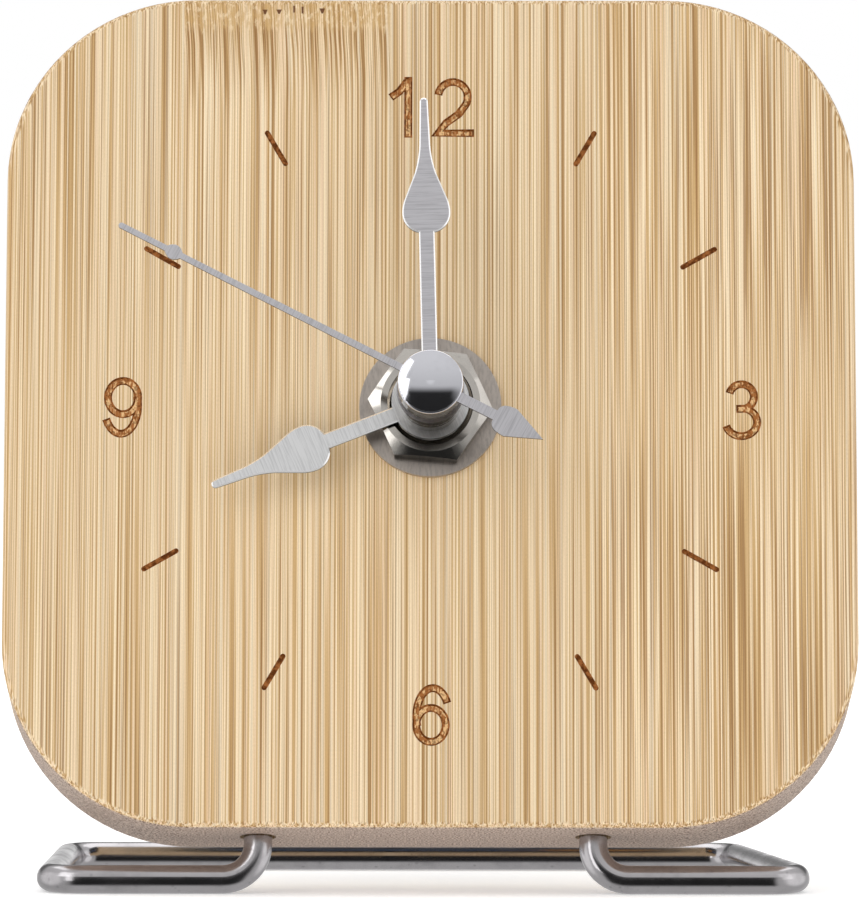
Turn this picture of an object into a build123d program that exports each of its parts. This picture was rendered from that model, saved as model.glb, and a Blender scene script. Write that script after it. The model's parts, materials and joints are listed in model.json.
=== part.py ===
"""Bamboo desk clock on a bent-wire stand, with hands and a quartz movement."""
import os
from math import cos, radians, sin

from build123d import *

os.makedirs("parts", exist_ok=True)

# All lengths in millimetres, angles in degrees.
# Heights with _z run along the dial's axis, from the board's front face towards the viewer.

# Board
board_w = 90.0
board_t = 12.0
board_corner_r = 20.0
board_ease = 0.8
board_lift = 7.2
lean = 14.0
pocket_depth = 7.5
pocket_clear = 1.0

# Wire stand
wire_d = 3.0
peg_span = 35.2
peg_inset = 5.4
peg_hole_d = 3.8
peg_hole_depth = 12.0
peg_bend_r = 3.7
foot_bend_r = 3.4
stand_front_w = 79.0
stand_rear_w = 72.5
stand_shift = -0.45
stand_rear_shift = -2.7
stand_depth = 40.0

# Fits
overrun = 1.0
running_clear = 0.06
pivot_clear = 0.05
press_clear = 0.02
end_play = 0.1

# Movement case
case_w = 56.0
case_d = 16.2
case_wall = 1.2
case_corner_r = 4.0
case_ease = 0.5
partition_t = 0.8
gasket_t = 0.8
gasket_d = 24.0
gasket_hole_d = 8.8
post_d = 3.6
post_inset = 2.6
plate_t = 1.0
plate_clear = 0.2
cover_t = 1.2
cover_clear = 0.1
cover_rim_h = 0.4
bearing_d = 2.6
bearing_h = 0.6
bearing_depth = 1.0

# Cell and its contacts
cell_d = 14.5
cell_room = 3.1
cell_nub_d = 5.2
cell_nub_len = 1.0
cell_ease = 0.6
cell_clear = 0.2
strip_t = 0.3
strip_w = 2.0
strip_slot = 0.9
leaf_contact_w = 9.0
leaf_contact_margin = 3.0
strip_land = 1.8
strip_clear = 0.05

# Bush, washer and nut
bush_d = 8.0
bush_bore_d = 5.4
bush_end_z = 2.9
bush_flange_d = 11.0
bush_flange_t = 0.6
bush_clear = 0.3
nut_clear = 0.04
washer_d = 15.0
washer_t = 0.6
bush_chamfer = 0.3
nut_across = 11.5
nut_t = 2.0
nut_sink = 0.5
nut_turn = -5.0

# Train levels
wheel_t = 0.8
deck_gap = 0.5
arbor_d = 1.2
pivot_d = 0.8
stud_d = 1.4

# Train centres: each pair of arbors' distance in shares of the case's width, and its direction
third_reach_share = 0.2054
third_way = 60.0
inter_reach_share = 0.1543
inter_way = 150.0
rotor_reach_share = 0.15
rotor_way = 120.0
motion_reach_share = 0.2143
motion_way = 0.0
setting_reach_share = 0.2143
setting_way = 45.0

# Teeth
second_pinion_teeth = 8
third_wheel_teeth = 60
third_pinion_teeth = 8
centre_wheel_teeth = 64
second_wheel_teeth = 40
inter_pinion_teeth = 8
inter_wheel_teeth = 48
rotor_pinion_teeth = 8
cannon_teeth = 12
minute_wheel_teeth = 36
minute_pinion_teeth = 10
hour_wheel_teeth = 40
setting_teeth = 12
# Each tooth's corners: along the pitch in shares of one pitch, and out from the pitch circle in shares of the module
wheel_tooth_shares = ((-0.30, -1.05), (-0.09, 0.80), (0.09, 0.80), (0.30, -1.05))
pinion_tooth_shares = ((-0.24, -1.10), (-0.09, 0.70), (0.09, 0.70), (0.24, -1.10))
spoke_count = 4
rim_w = 2.2
spoke_w = 1.6
spoke_hub_d = 6.2

# Pipes and arbors of the hands
hour_pipe_d = 5.28
hour_bore_d = 3.6
hour_seat_d = 5.0
minute_pipe_d = 3.48
minute_bore_d = 1.8
minute_seat_d = 3.2
centre_hub_d = 3.4
second_arbor_d = 1.68
second_seat_d = 1.2

# Hands
hand_t = 0.4
hand_bevel = 0.14
hour_clock = 248.3
minute_clock = -1.36
second_clock = 297.5
hour_hand_z = 3.1
hour_eye_d = 8.2
hour_collet_d = 6.6
hour_collet_len = 1.7
hour_leaf_at = 11.7
hour_tip_at = 24.7
minute_hand_z = 7.9
minute_eye_d = 7.1
minute_collet_d = 6.9
minute_collet_len = 1.7
minute_leaf_at = 17.1
minute_tip_at = 31.75
stem_w = 1.65
leaf_w = 5.05
leaf_len = 10.2
neck_w = 1.1
tip_w = 0.85
# Leaf outline: along the leaf, and out to the side as a share of half the leaf's width
leaf_shares = ((0.073, 0.811), (0.205, 1.0), (0.284, 0.97), (0.36, 0.88), (0.62, 0.46), (0.808, 0.277))
pipe_end_gap = 0.2
second_hand_z = 11.5
second_hand_t = 0.3
second_collet_len = 1.8
second_tip_at = 36.8
second_root_w = 0.75
second_tip_w = 0.6
lozenge_at = 30.3
lozenge_w = 1.6
lozenge_len = 2.3
tail_neck_w = 1.1
tail_neck_at = 7.6
tail_w = 3.2
tail_wide_at = 9.4
tail_tip_at = 13.2
cap_d = 6.9
cap_rim_t = 0.3
cap_round = 0.2
cap_dome_h = 0.5
cap_bore_depth = 0.4

# Step motor and circuit
magnet_d = 4.4
magnet_len = 1.4
magnet_gap = 0.4
stator_t = 0.8
stator_body_share = 0.1607
stator_leg_w = 3.5
stator_leg_share = 0.1518
coil_reach_share = 0.1696
core_w = 2.6
core_t = 0.8
core_clear = 0.1
coil_len_share = 0.2286
bobbin_d = 3.8
bobbin_flange_d = 5.6
bobbin_flange_t = 0.6
winding_d = 5.0
coil_window_clear = 0.6
pcb_w_share = 0.34
pcb_h_share = 0.1714
pcb_t = 0.8
pcb_side_gap = 4.9
pcb_top_gap = 2.0
crystal_d = 2.0
crystal_len = 6.0
crystal_ease = 0.3
crystal_reach = 2.6
chip_d = 5.2
chip_h = 1.2
chip_reach = 4.6

# Setting shaft and knob
setting_shaft_d = 3.0
knob_share = 0.1964
knob_t = 2.6
knob_gap = 0.2
knob_grip_count = 24
knob_grip_share = 0.0818
knob_ease_share = 0.0273

# The head's own frame: origin at the dial's centre on the face, Z out of the face
lean_sin = sin(radians(lean))
lean_cos = cos(radians(lean))
wire_r = wire_d / 2
head_z = board_lift + board_w / 2 * lean_cos
peg_foot = (wire_r + peg_inset * lean_sin - head_z) / lean_cos
head_y = -stand_depth / 2 - peg_foot * lean_sin - peg_inset * lean_cos
HEAD = Plane(origin=(0, head_y, head_z), x_dir=(1, 0, 0), z_dir=(0, -lean_cos, lean_sin))
HEAD_AXIS = Axis(HEAD.origin, HEAD.z_dir)


def at(z, x=0, y=0, turn=0):
    """A plane parallel to the dial, at height z, centred on x and y of the face, turned anticlockwise."""
    x_dir = HEAD.x_dir * cos(radians(turn)) + HEAD.y_dir * sin(radians(turn))
    return Plane(HEAD.from_local_coords((x, y, z)), x_dir=x_dir, z_dir=HEAD.z_dir)


def turned(x, y, *steps):
    """A turned piece on an axis through x and y of the face: each step is (start z, end z, diameter)."""
    with BuildPart() as piece:
        for start, end, diameter in steps:
            with BuildSketch(at(start, x, y)):
                Circle(diameter / 2)
            extrude(amount=end - start)
    return piece.part


def gear(teeth, module, turn, tooth_shares):
    """A toothed face with one tooth centred at the angle turn."""
    pitch_r = teeth * module / 2
    points = []
    for tooth in range(teeth):
        for along, out in tooth_shares:
            angle = radians(turn + 360 * (tooth + along) / teeth)
            reach = pitch_r + out * module
            points.append((reach * cos(angle), reach * sin(angle)))
    with BuildSketch() as face:
        with BuildLine():
            Polyline(*points, close=True)
        make_face()
    return face.sketch


def meshing_turn(turn, teeth, other_teeth, way):
    """The turn that puts the other gear's gaps on this gear's teeth, where it stands in the direction way."""
    along = (way - turn) * teeth / 360
    return way + 180 - (0.5 - along) * 360 / other_teeth


def beside(x, y, reach, way):
    """The centre that stands at a reach from x and y in the direction way."""
    return x + reach * cos(radians(way)), y + reach * sin(radians(way))


def spokes_out(outer_d):
    """The openings between a wheel's spokes."""
    with BuildSketch() as openings:
        Circle(outer_d / 2)
        Circle(spoke_hub_d / 2, mode=Mode.SUBTRACT)
        with PolarLocations(0, spoke_count):
            Rectangle(outer_d, spoke_w, align=(Align.MIN, Align.CENTER), mode=Mode.SUBTRACT)
    return openings.sketch


def leaf_hand(eye_d, bore_d, leaf_at, tip_at):
    """A hand with a straight stem, a leaf and a slim tip, pointing along Y."""
    base = (stem_w / 2, leaf_at)
    rise, wide, fall, slope, waist, run = [
        (out * leaf_w / 2, leaf_at + along * leaf_len) for along, out in leaf_shares
    ]
    neck = (neck_w / 2, leaf_at + leaf_len)
    tip_r = tip_w / 2
    with BuildSketch() as face:
        with BuildLine():
            Polyline((0, 0), (stem_w / 2, 0), base)
            ThreePointArc(base, rise, wide)
            ThreePointArc(wide, fall, slope)
            Line(slope, waist)
            ThreePointArc(waist, run, neck)
            Line(neck, (tip_r, tip_at - tip_r))
            RadiusArc((tip_r, tip_at - tip_r), (0, tip_at), -tip_r)
            mirror(about=Plane.YZ)
        make_face()
        Circle(eye_d / 2)
        Circle(bore_d / 2, mode=Mode.SUBTRACT)
    return face.sketch


# Levels along the dial's axis
pocket_z = pocket_depth - board_t
case_z = pocket_z - gasket_t
floor_z = case_z - case_wall
back_z = case_z - case_d
hour_wheel_z = floor_z - bush_flange_t - 2 * end_play
motion_z = hour_wheel_z - wheel_t - deck_gap
centre_z = motion_z - wheel_t - deck_gap
third_z = centre_z - wheel_t - deck_gap
second_z = third_z - wheel_t - deck_gap
inter_z = second_z - wheel_t - deck_gap
plate_z = inter_z - wheel_t - deck_gap
plate_back_z = plate_z - plate_t
cover_z = back_z + cover_t
bearing_z = floor_z - bearing_h

# Chamber and cell bay
inner = case_w / 2 - case_wall
bay_h = cell_d + 2 * cell_clear
cell_len = 2 * inner - cell_room
bay_top = bay_h - inner
chamber_low = bay_top + partition_t
chamber_h = inner - chamber_low
chamber_mid = (inner + chamber_low) / 2
chamber_r = case_corner_r - case_wall
post_x = inner - post_inset
post_high = inner - post_inset
post_low = chamber_low + post_inset
post_spots = [(post_x, post_high), (-post_x, post_high), (post_x, post_low), (-post_x, post_low)]

# Arbor centres and tooth modules
third_reach = case_w * third_reach_share
inter_reach = case_w * inter_reach_share
rotor_reach = case_w * rotor_reach_share
motion_reach = case_w * motion_reach_share
setting_reach = case_w * setting_reach_share
third_x, third_y = beside(0, 0, third_reach, third_way)
inter_x, inter_y = beside(0, 0, inter_reach, inter_way)
rotor_x, rotor_y = beside(inter_x, inter_y, rotor_reach, rotor_way)
motion_x, motion_y = beside(0, 0, motion_reach, motion_way)
setting_x, setting_y = beside(motion_x, motion_y, setting_reach, setting_way)
third_module = 2 * third_reach / (second_pinion_teeth + third_wheel_teeth)
centre_module = 2 * third_reach / (third_pinion_teeth + centre_wheel_teeth)
second_module = 2 * inter_reach / (second_wheel_teeth + inter_pinion_teeth)
inter_module = 2 * rotor_reach / (inter_wheel_teeth + rotor_pinion_teeth)
minute_module = 2 * motion_reach / (cannon_teeth + minute_wheel_teeth)
hour_module = 2 * motion_reach / (minute_pinion_teeth + hour_wheel_teeth)
setting_module = 2 * setting_reach / (minute_wheel_teeth + setting_teeth)
third_wheel_turn = meshing_turn(0, second_pinion_teeth, third_wheel_teeth, third_way)
third_pinion_turn = meshing_turn(0, centre_wheel_teeth, third_pinion_teeth, third_way)
inter_pinion_turn = meshing_turn(0, second_wheel_teeth, inter_pinion_teeth, inter_way)
rotor_turn = meshing_turn(0, inter_wheel_teeth, rotor_pinion_teeth, rotor_way)
minute_wheel_turn = meshing_turn(0, cannon_teeth, minute_wheel_teeth, motion_way)
minute_pinion_turn = meshing_turn(0, hour_wheel_teeth, minute_pinion_teeth, motion_way)
setting_turn = meshing_turn(minute_wheel_turn, minute_wheel_teeth, setting_teeth, setting_way)

# Pivot holes are drilled to the pivot and its clearance
pivot_hole_d = pivot_d + 2 * pivot_clear
shaft_hole_d = setting_shaft_d + 2 * running_clear
pivot_end_z = bearing_z + bearing_depth - end_play

# Clock board: rounded square with a pocket for the movement, the bush hole and two peg holes
peg_left = stand_shift - peg_span / 2
peg_right = stand_shift + peg_span / 2
with BuildPart() as clock_board:
    with BuildSketch(at(0)):
        RectangleRounded(board_w, board_w, board_corner_r)
    extrude(amount=-board_t)
    rims = clock_board.faces().sort_by(HEAD_AXIS)
    fillet(rims[0].edges() + rims[-1].edges(), radius=board_ease)
    with BuildSketch(at(-board_t)):
        pocket_w = case_w + 2 * pocket_clear
        RectangleRounded(pocket_w, pocket_w, case_corner_r + pocket_clear)
    extrude(amount=pocket_depth, mode=Mode.SUBTRACT)
    with BuildSketch(at(pocket_z - overrun)):
        Circle(bush_d / 2 + bush_clear)
    extrude(amount=overrun - pocket_z + overrun, mode=Mode.SUBTRACT)
    peg_mouth = HEAD.from_local_coords((0, -board_w / 2, -peg_inset))
    with BuildSketch(Plane(peg_mouth, x_dir=HEAD.x_dir, z_dir=HEAD.y_dir)):
        with Locations((peg_left, 0), (peg_right, 0)):
            Circle(peg_hole_d / 2)
    extrude(amount=peg_hole_depth, mode=Mode.SUBTRACT)
clock_board.part.label = "clock_board"
export_step(clock_board.part, "parts/clock_board.step")

# Wire stand: one length of wire from peg to peg, round a loop that lies on the table
front_y = -stand_depth / 2
rear_y = stand_depth / 2
peg_top_y = peg_hole_depth - board_w / 2
front_left = stand_shift - stand_front_w / 2
front_right = stand_shift + stand_front_w / 2
rear_left = stand_shift + stand_rear_shift - stand_rear_w / 2
rear_right = stand_shift + stand_rear_shift + stand_rear_w / 2
with BuildPart() as wire_stand:
    with BuildLine() as wire_path:
        FilletPolyline(
            HEAD.from_local_coords((peg_left, peg_top_y, -peg_inset)),
            (peg_left, front_y, wire_r),
            (front_left, front_y, wire_r),
            (rear_left, rear_y, wire_r),
            (rear_right, rear_y, wire_r),
            (front_right, front_y, wire_r),
            (peg_right, front_y, wire_r),
            HEAD.from_local_coords((peg_right, peg_top_y, -peg_inset)),
            radius=[peg_bend_r] + [foot_bend_r] * 4 + [peg_bend_r],
        )
    with BuildSketch(Plane(wire_path.line @ 0, z_dir=wire_path.line % 0)):
        Circle(wire_r)
    sweep()
wire_stand.part.label = "wire_stand"
export_step(wire_stand.part, "parts/wire_stand.step")

# Washer on the face
with BuildPart() as dial_washer:
    add(turned(0, 0, (0, washer_t, washer_d)))
    add(turned(0, 0, (-overrun, washer_t + overrun, bush_d + 2 * bush_clear)), mode=Mode.SUBTRACT)
dial_washer.part.label = "dial_washer"
export_step(dial_washer.part, "parts/dial_washer.step")

# Hexagon nut, its bore countersunk at the front
nut_front_z = washer_t + nut_t
nut_bore_d = bush_d + 2 * nut_clear
with BuildPart() as hex_nut:
    with BuildSketch(at(washer_t, turn=nut_turn)):
        RegularPolygon(nut_across / 2, 6, major_radius=False)
    extrude(amount=nut_t)
    add(turned(0, 0, (washer_t - overrun, nut_front_z + overrun, nut_bore_d)), mode=Mode.SUBTRACT)
    chamfer(hex_nut.faces().sort_by(HEAD_AXIS)[-1].inner_wires()[0].edges(), length=nut_sink)
hex_nut.part.label = "hex_nut"
export_step(hex_nut.part, "parts/hex_nut.step")

# Rubber ring between the pocket and the movement
with BuildPart() as dial_gasket:
    add(turned(0, 0, (case_z, pocket_z, gasket_d)))
    add(turned(0, 0, (case_z - overrun, pocket_z + overrun, gasket_hole_d)), mode=Mode.SUBTRACT)
dial_gasket.part.label = "dial_gasket"
export_step(dial_gasket.part, "parts/dial_gasket.step")

# Bush: a flanged neck through the case, the board, the washer and the nut
with BuildPart() as threaded_bush:
    add(turned(0, 0, (floor_z - bush_flange_t, floor_z, bush_flange_d), (floor_z, bush_end_z, bush_d)))
    add(turned(0, 0, (floor_z - overrun, bush_end_z + overrun, bush_bore_d)), mode=Mode.SUBTRACT)
    chamfer(threaded_bush.faces().sort_by(HEAD_AXIS)[-1].outer_wire().edges(), length=bush_chamfer)
threaded_bush.part.label = "threaded_bush"
export_step(threaded_bush.part, "parts/threaded_bush.step")

# Movement case: a tray with a train chamber, a cell bay, corner posts and bearing bosses
rotor_post_z = inter_z + deck_gap
strip_z = plate_back_z - pcb_t
bearings = [(third_x, third_y), (motion_x, motion_y), (setting_x, setting_y)]
with BuildPart() as movement_case:
    with BuildSketch(at(case_z)):
        RectangleRounded(case_w, case_w, case_corner_r)
    extrude(amount=-case_d)
    fillet(movement_case.faces().sort_by(HEAD_AXIS)[-1].edges(), radius=case_ease)
    with BuildSketch(at(floor_z, 0, chamber_mid)):
        RectangleRounded(2 * inner, chamber_h, chamber_r)
    extrude(amount=-case_d, mode=Mode.SUBTRACT)
    with BuildSketch(at(floor_z, 0, (bay_top - inner) / 2)):
        RectangleRounded(2 * inner, bay_h, chamber_r)
    extrude(amount=-case_d, mode=Mode.SUBTRACT)
    with BuildSketch(at(strip_z + overrun)):
        with Locations((inner - strip_slot / 2, chamber_low), (strip_slot / 2 - inner, chamber_low)):
            Rectangle(strip_slot, 4 * chamber_r)
    extrude(amount=-case_d, mode=Mode.SUBTRACT)
    with BuildSketch(at(floor_z)):
        with Locations(*post_spots):
            Circle(post_d / 2)
    extrude(amount=plate_z - floor_z)
    with BuildSketch(at(floor_z)):
        with Locations(*bearings):
            Circle(bearing_d / 2)
    extrude(amount=-bearing_h)
    with BuildSketch(at(floor_z, rotor_x, rotor_y)):
        Circle(bearing_d / 2)
    extrude(amount=rotor_post_z - floor_z)
    with BuildSketch(at(bearing_z)):
        with Locations(*bearings):
            Circle(pivot_hole_d / 2)
    extrude(amount=bearing_depth, mode=Mode.SUBTRACT)
    with BuildSketch(at(rotor_post_z, rotor_x, rotor_y)):
        Circle(pivot_hole_d / 2)
    extrude(amount=bearing_depth, mode=Mode.SUBTRACT)
    with BuildSketch(at(floor_z - overrun)):
        Circle(bush_d / 2 + nut_clear)
    extrude(amount=case_wall + 2 * overrun, mode=Mode.SUBTRACT)
movement_case.part.label = "movement_case"
export_step(movement_case.part, "parts/movement_case.step")

# Coil and circuit places behind the train plate
stator_body_h = case_w * stator_body_share
stator_leg_at = case_w * stator_leg_share
coil_reach = case_w * coil_reach_share
coil_len = case_w * coil_len_share
pcb_w = case_w * pcb_w_share
pcb_h = case_w * pcb_h_share
pcb_x = inner - pcb_side_gap - pcb_w / 2
pcb_y = inner - pcb_top_gap - pcb_h / 2
knob_d = case_w * knob_share
coil_y = rotor_y + coil_reach
core_z = plate_back_z - stator_t - core_t / 2
window_w = coil_len + 2 * coil_window_clear
window_h = bobbin_flange_d + 2 * coil_window_clear

# Train plate: carries the rear pivots, the intermediate wheel's stud, the stator and the circuit
with BuildPart() as train_plate:
    with BuildSketch(at(plate_z, 0, chamber_mid)):
        plate_r = chamber_r - plate_clear
        RectangleRounded(2 * (inner - plate_clear), chamber_h - 2 * plate_clear, plate_r)
    extrude(amount=-plate_t)
    with BuildSketch(at(plate_z)):
        with Locations((0, 0), (third_x, third_y), (motion_x, motion_y)):
            Circle(pivot_hole_d / 2)
        with Locations((setting_x, setting_y)):
            Circle(shaft_hole_d / 2)
        with Locations((rotor_x, rotor_y)):
            Circle(magnet_d / 2 + magnet_gap)
        with Locations((rotor_x, coil_y)):
            Rectangle(window_w, window_h)
    extrude(amount=-plate_t, mode=Mode.SUBTRACT)
    add(turned(inter_x, inter_y, (plate_z, second_z, stud_d)))
train_plate.part.label = "train_plate"
export_step(train_plate.part, "parts/train_plate.step")

# Rear cover: closes the train chamber on four pillars, with the rotor's rear bearing and a raised rim
rotor_boss_z = plate_back_z - stator_t - 2 * core_t
with BuildPart() as rear_cover:
    with BuildSketch(at(cover_z, 0, chamber_mid)):
        cover_w = 2 * (inner - cover_clear)
        RectangleRounded(cover_w, chamber_h - 2 * cover_clear, chamber_r - cover_clear)
    extrude(amount=-cover_t)
    with BuildSketch(at(back_z, setting_x, setting_y)):
        Circle(knob_d / 2 + knob_gap)
    extrude(amount=cover_rim_h, mode=Mode.SUBTRACT)
    with BuildSketch(at(plate_back_z)):
        with Locations(*post_spots):
            Circle(post_d / 2)
    extrude(amount=cover_z - plate_back_z)
    with BuildSketch(at(rotor_boss_z, rotor_x, rotor_y)):
        Circle(bearing_d / 2)
    extrude(amount=cover_z - rotor_boss_z)
    with BuildSketch(at(rotor_boss_z, rotor_x, rotor_y)):
        Circle(pivot_hole_d / 2)
    extrude(amount=-bearing_depth, mode=Mode.SUBTRACT)
    with BuildSketch(at(back_z - overrun, setting_x, setting_y)):
        Circle(shaft_hole_d / 2)
    extrude(amount=cover_t + 2 * overrun, mode=Mode.SUBTRACT)
rear_cover.part.label = "rear_cover"
export_step(rear_cover.part, "parts/rear_cover.step")

# Hour wheel with its pipe
hour_pipe_end_z = hour_hand_z + hand_t + hour_collet_len + pipe_end_gap
with BuildPart() as hour_wheel:
    with BuildSketch(at(hour_wheel_z)):
        add(gear(hour_wheel_teeth, hour_module, 0, wheel_tooth_shares))
    extrude(amount=-wheel_t)
    add(turned(0, 0, (hour_wheel_z - wheel_t, hour_hand_z, hour_pipe_d)))
    add(turned(0, 0, (hour_hand_z, hour_pipe_end_z, hour_seat_d)))
    add(turned(0, 0, (hour_wheel_z - wheel_t - overrun, hour_pipe_end_z + overrun, hour_bore_d)), mode=Mode.SUBTRACT)
hour_wheel.part.label = "hour_wheel"
export_step(hour_wheel.part, "parts/hour_wheel.step")

# Cannon pinion with the minute pipe in front and the hub of the friction wheel behind
cannon_back_z = centre_z + end_play
hub_back_z = centre_z - wheel_t - end_play
minute_shoulder_z = minute_hand_z - minute_collet_len
minute_pipe_end_z = minute_hand_z + hand_t + pipe_end_gap
with BuildPart() as cannon_pinion:
    with BuildSketch(at(motion_z + 2 * end_play)):
        add(gear(cannon_teeth, minute_module, 0, pinion_tooth_shares))
    extrude(amount=cannon_back_z - motion_z - 2 * end_play)
    add(turned(0, 0, (hub_back_z, cannon_back_z, centre_hub_d)))
    add(turned(0, 0, (motion_z, minute_shoulder_z, minute_pipe_d)))
    add(turned(0, 0, (minute_shoulder_z, minute_pipe_end_z, minute_seat_d)))
    add(turned(0, 0, (hub_back_z - overrun, minute_pipe_end_z + overrun, minute_bore_d)), mode=Mode.SUBTRACT)
cannon_pinion.part.label = "cannon_pinion"
export_step(cannon_pinion.part, "parts/cannon_pinion.step")

# Minute wheel with its pinion, between the cannon pinion and the hour wheel
with BuildPart() as minute_wheel:
    with BuildSketch(at(motion_z, motion_x, motion_y)):
        add(gear(minute_wheel_teeth, minute_module, minute_wheel_turn, wheel_tooth_shares))
        add(spokes_out(minute_wheel_teeth * minute_module - 2 * rim_w), mode=Mode.SUBTRACT)
    extrude(amount=-wheel_t)
    with BuildSketch(at(hour_wheel_z + end_play, motion_x, motion_y)):
        add(gear(minute_pinion_teeth, hour_module, minute_pinion_turn, pinion_tooth_shares))
    extrude(amount=motion_z - hour_wheel_z - end_play)
    add(turned(motion_x, motion_y, (hour_wheel_z, bearing_z - end_play, arbor_d)))
    add(turned(motion_x, motion_y, (bearing_z - end_play, pivot_end_z, pivot_d)))
    add(turned(motion_x, motion_y, (plate_z + end_play, motion_z, arbor_d)))
    add(turned(motion_x, motion_y, (plate_back_z, plate_z + end_play, pivot_d)))
minute_wheel.part.label = "minute_wheel"
export_step(minute_wheel.part, "parts/minute_wheel.step")

# Centre wheel: turns with slip on the cannon pinion's hub
with BuildPart() as centre_wheel:
    with BuildSketch(at(centre_z)):
        add(gear(centre_wheel_teeth, centre_module, 0, wheel_tooth_shares))
        add(spokes_out(centre_wheel_teeth * centre_module - 2 * rim_w), mode=Mode.SUBTRACT)
        Circle(centre_hub_d / 2 + pivot_clear, mode=Mode.SUBTRACT)
    extrude(amount=-wheel_t)
centre_wheel.part.label = "centre_wheel"
export_step(centre_wheel.part, "parts/centre_wheel.step")

# Third wheel with its pinion, between the second arbor and the centre wheel
with BuildPart() as third_wheel:
    with BuildSketch(at(third_z, third_x, third_y)):
        add(gear(third_wheel_teeth, third_module, third_wheel_turn, wheel_tooth_shares))
        add(spokes_out(third_wheel_teeth * third_module - 2 * rim_w), mode=Mode.SUBTRACT)
    extrude(amount=-wheel_t)
    with BuildSketch(at(centre_z + 2 * end_play, third_x, third_y)):
        add(gear(third_pinion_teeth, centre_module, third_pinion_turn, pinion_tooth_shares))
    extrude(amount=third_z - centre_z - 2 * end_play)
    add(turned(third_x, third_y, (centre_z, bearing_z - end_play, arbor_d)))
    add(turned(third_x, third_y, (bearing_z - end_play, pivot_end_z, pivot_d)))
    add(turned(third_x, third_y, (plate_z + end_play, third_z, arbor_d)))
    add(turned(third_x, third_y, (plate_back_z, plate_z + end_play, pivot_d)))
third_wheel.part.label = "third_wheel"
export_step(third_wheel.part, "parts/third_wheel.step")

# Second wheel: its arbor runs forward through the pipes to the second hand
second_shoulder_z = second_hand_z - second_collet_len
second_end_z = second_hand_z + second_hand_t + cap_bore_depth - end_play
second_pinion_z = hub_back_z - 2 * end_play
with BuildPart() as second_wheel:
    with BuildSketch(at(second_z)):
        add(gear(second_wheel_teeth, second_module, 0, wheel_tooth_shares))
        add(spokes_out(second_wheel_teeth * second_module - 2 * rim_w), mode=Mode.SUBTRACT)
    extrude(amount=-wheel_t)
    with BuildSketch(at(second_pinion_z)):
        add(gear(second_pinion_teeth, third_module, 0, pinion_tooth_shares))
    extrude(amount=second_z - second_pinion_z)
    add(turned(0, 0, (second_pinion_z, second_shoulder_z, second_arbor_d)))
    add(turned(0, 0, (second_shoulder_z, second_end_z, second_seat_d)))
    add(turned(0, 0, (plate_z + end_play, second_z, arbor_d)))
    add(turned(0, 0, (plate_back_z, plate_z + end_play, pivot_d)))
second_wheel.part.label = "second_wheel"
export_step(second_wheel.part, "parts/second_wheel.step")

# Intermediate wheel: runs on the plate's stud between the rotor and the second wheel
with BuildPart() as intermediate_wheel:
    with BuildSketch(at(inter_z, inter_x, inter_y)):
        add(gear(inter_wheel_teeth, inter_module, 0, wheel_tooth_shares))
        add(spokes_out(inter_wheel_teeth * inter_module - 2 * rim_w), mode=Mode.SUBTRACT)
    extrude(amount=-wheel_t)
    with BuildSketch(at(second_z, inter_x, inter_y)):
        add(gear(inter_pinion_teeth, second_module, inter_pinion_turn, pinion_tooth_shares))
    extrude(amount=inter_z - second_z)
    hub_z = inter_z - wheel_t
    add(turned(inter_x, inter_y, (plate_z + end_play, hub_z, stud_d + arbor_d)))
    bore_d = stud_d + 2 * pivot_clear
    add(turned(inter_x, inter_y, (plate_z, second_z + overrun, bore_d)), mode=Mode.SUBTRACT)
intermediate_wheel.part.label = "intermediate_wheel"
export_step(intermediate_wheel.part, "parts/intermediate_wheel.step")

# Rotor: a leaf pinion on a thin arbor, with a round magnet in the stator's hole
magnet_z = plate_back_z - stator_t / 2 + magnet_len / 2
rotor_front_z = rotor_post_z - end_play
rotor_back_z = rotor_boss_z + end_play
with BuildPart() as rotor_pinion:
    with BuildSketch(at(inter_z + end_play, rotor_x, rotor_y)):
        add(gear(rotor_pinion_teeth, inter_module, rotor_turn, pinion_tooth_shares))
    extrude(amount=-wheel_t - 2 * end_play)
    add(turned(rotor_x, rotor_y, (rotor_back_z, rotor_front_z, arbor_d)))
    add(turned(rotor_x, rotor_y, (rotor_front_z, rotor_post_z + bearing_depth - end_play, pivot_d)))
    add(turned(rotor_x, rotor_y, (rotor_boss_z - bearing_depth + end_play, rotor_back_z, pivot_d)))
rotor_pinion.part.label = "rotor_pinion"
export_step(rotor_pinion.part, "parts/rotor_pinion.step")

with BuildPart() as rotor_magnet:
    add(turned(rotor_x, rotor_y, (magnet_z - magnet_len, magnet_z, magnet_d)))
    bore_d = arbor_d + 2 * press_clear
    add(turned(rotor_x, rotor_y, (magnet_z - magnet_len, magnet_z, bore_d)), mode=Mode.SUBTRACT)
rotor_magnet.part.label = "rotor_magnet"
export_step(rotor_magnet.part, "parts/rotor_magnet.step")

# Stator: a plate round the rotor with two legs that carry the coil's core
leg_h = coil_reach + core_w / 2
with BuildPart() as stator:
    with BuildSketch(at(plate_back_z, rotor_x, rotor_y)):
        body_w = 2 * stator_leg_at + stator_leg_w
        Rectangle(body_w, stator_body_h)
        with Locations((-stator_leg_at, 0), (stator_leg_at, 0)):
            Rectangle(stator_leg_w, leg_h, align=(Align.CENTER, Align.MIN))
        Circle(magnet_d / 2 + magnet_gap, mode=Mode.SUBTRACT)
    extrude(amount=-stator_t)
stator.part.label = "stator"
export_step(stator.part, "parts/stator.step")

with BuildPart() as coil_core:
    with BuildSketch(at(core_z + core_t / 2, rotor_x, coil_y)):
        Rectangle(2 * stator_leg_at + stator_leg_w, core_w)
    extrude(amount=-core_t)
coil_core.part.label = "coil_core"
export_step(coil_core.part, "parts/coil_core.step")

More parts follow.
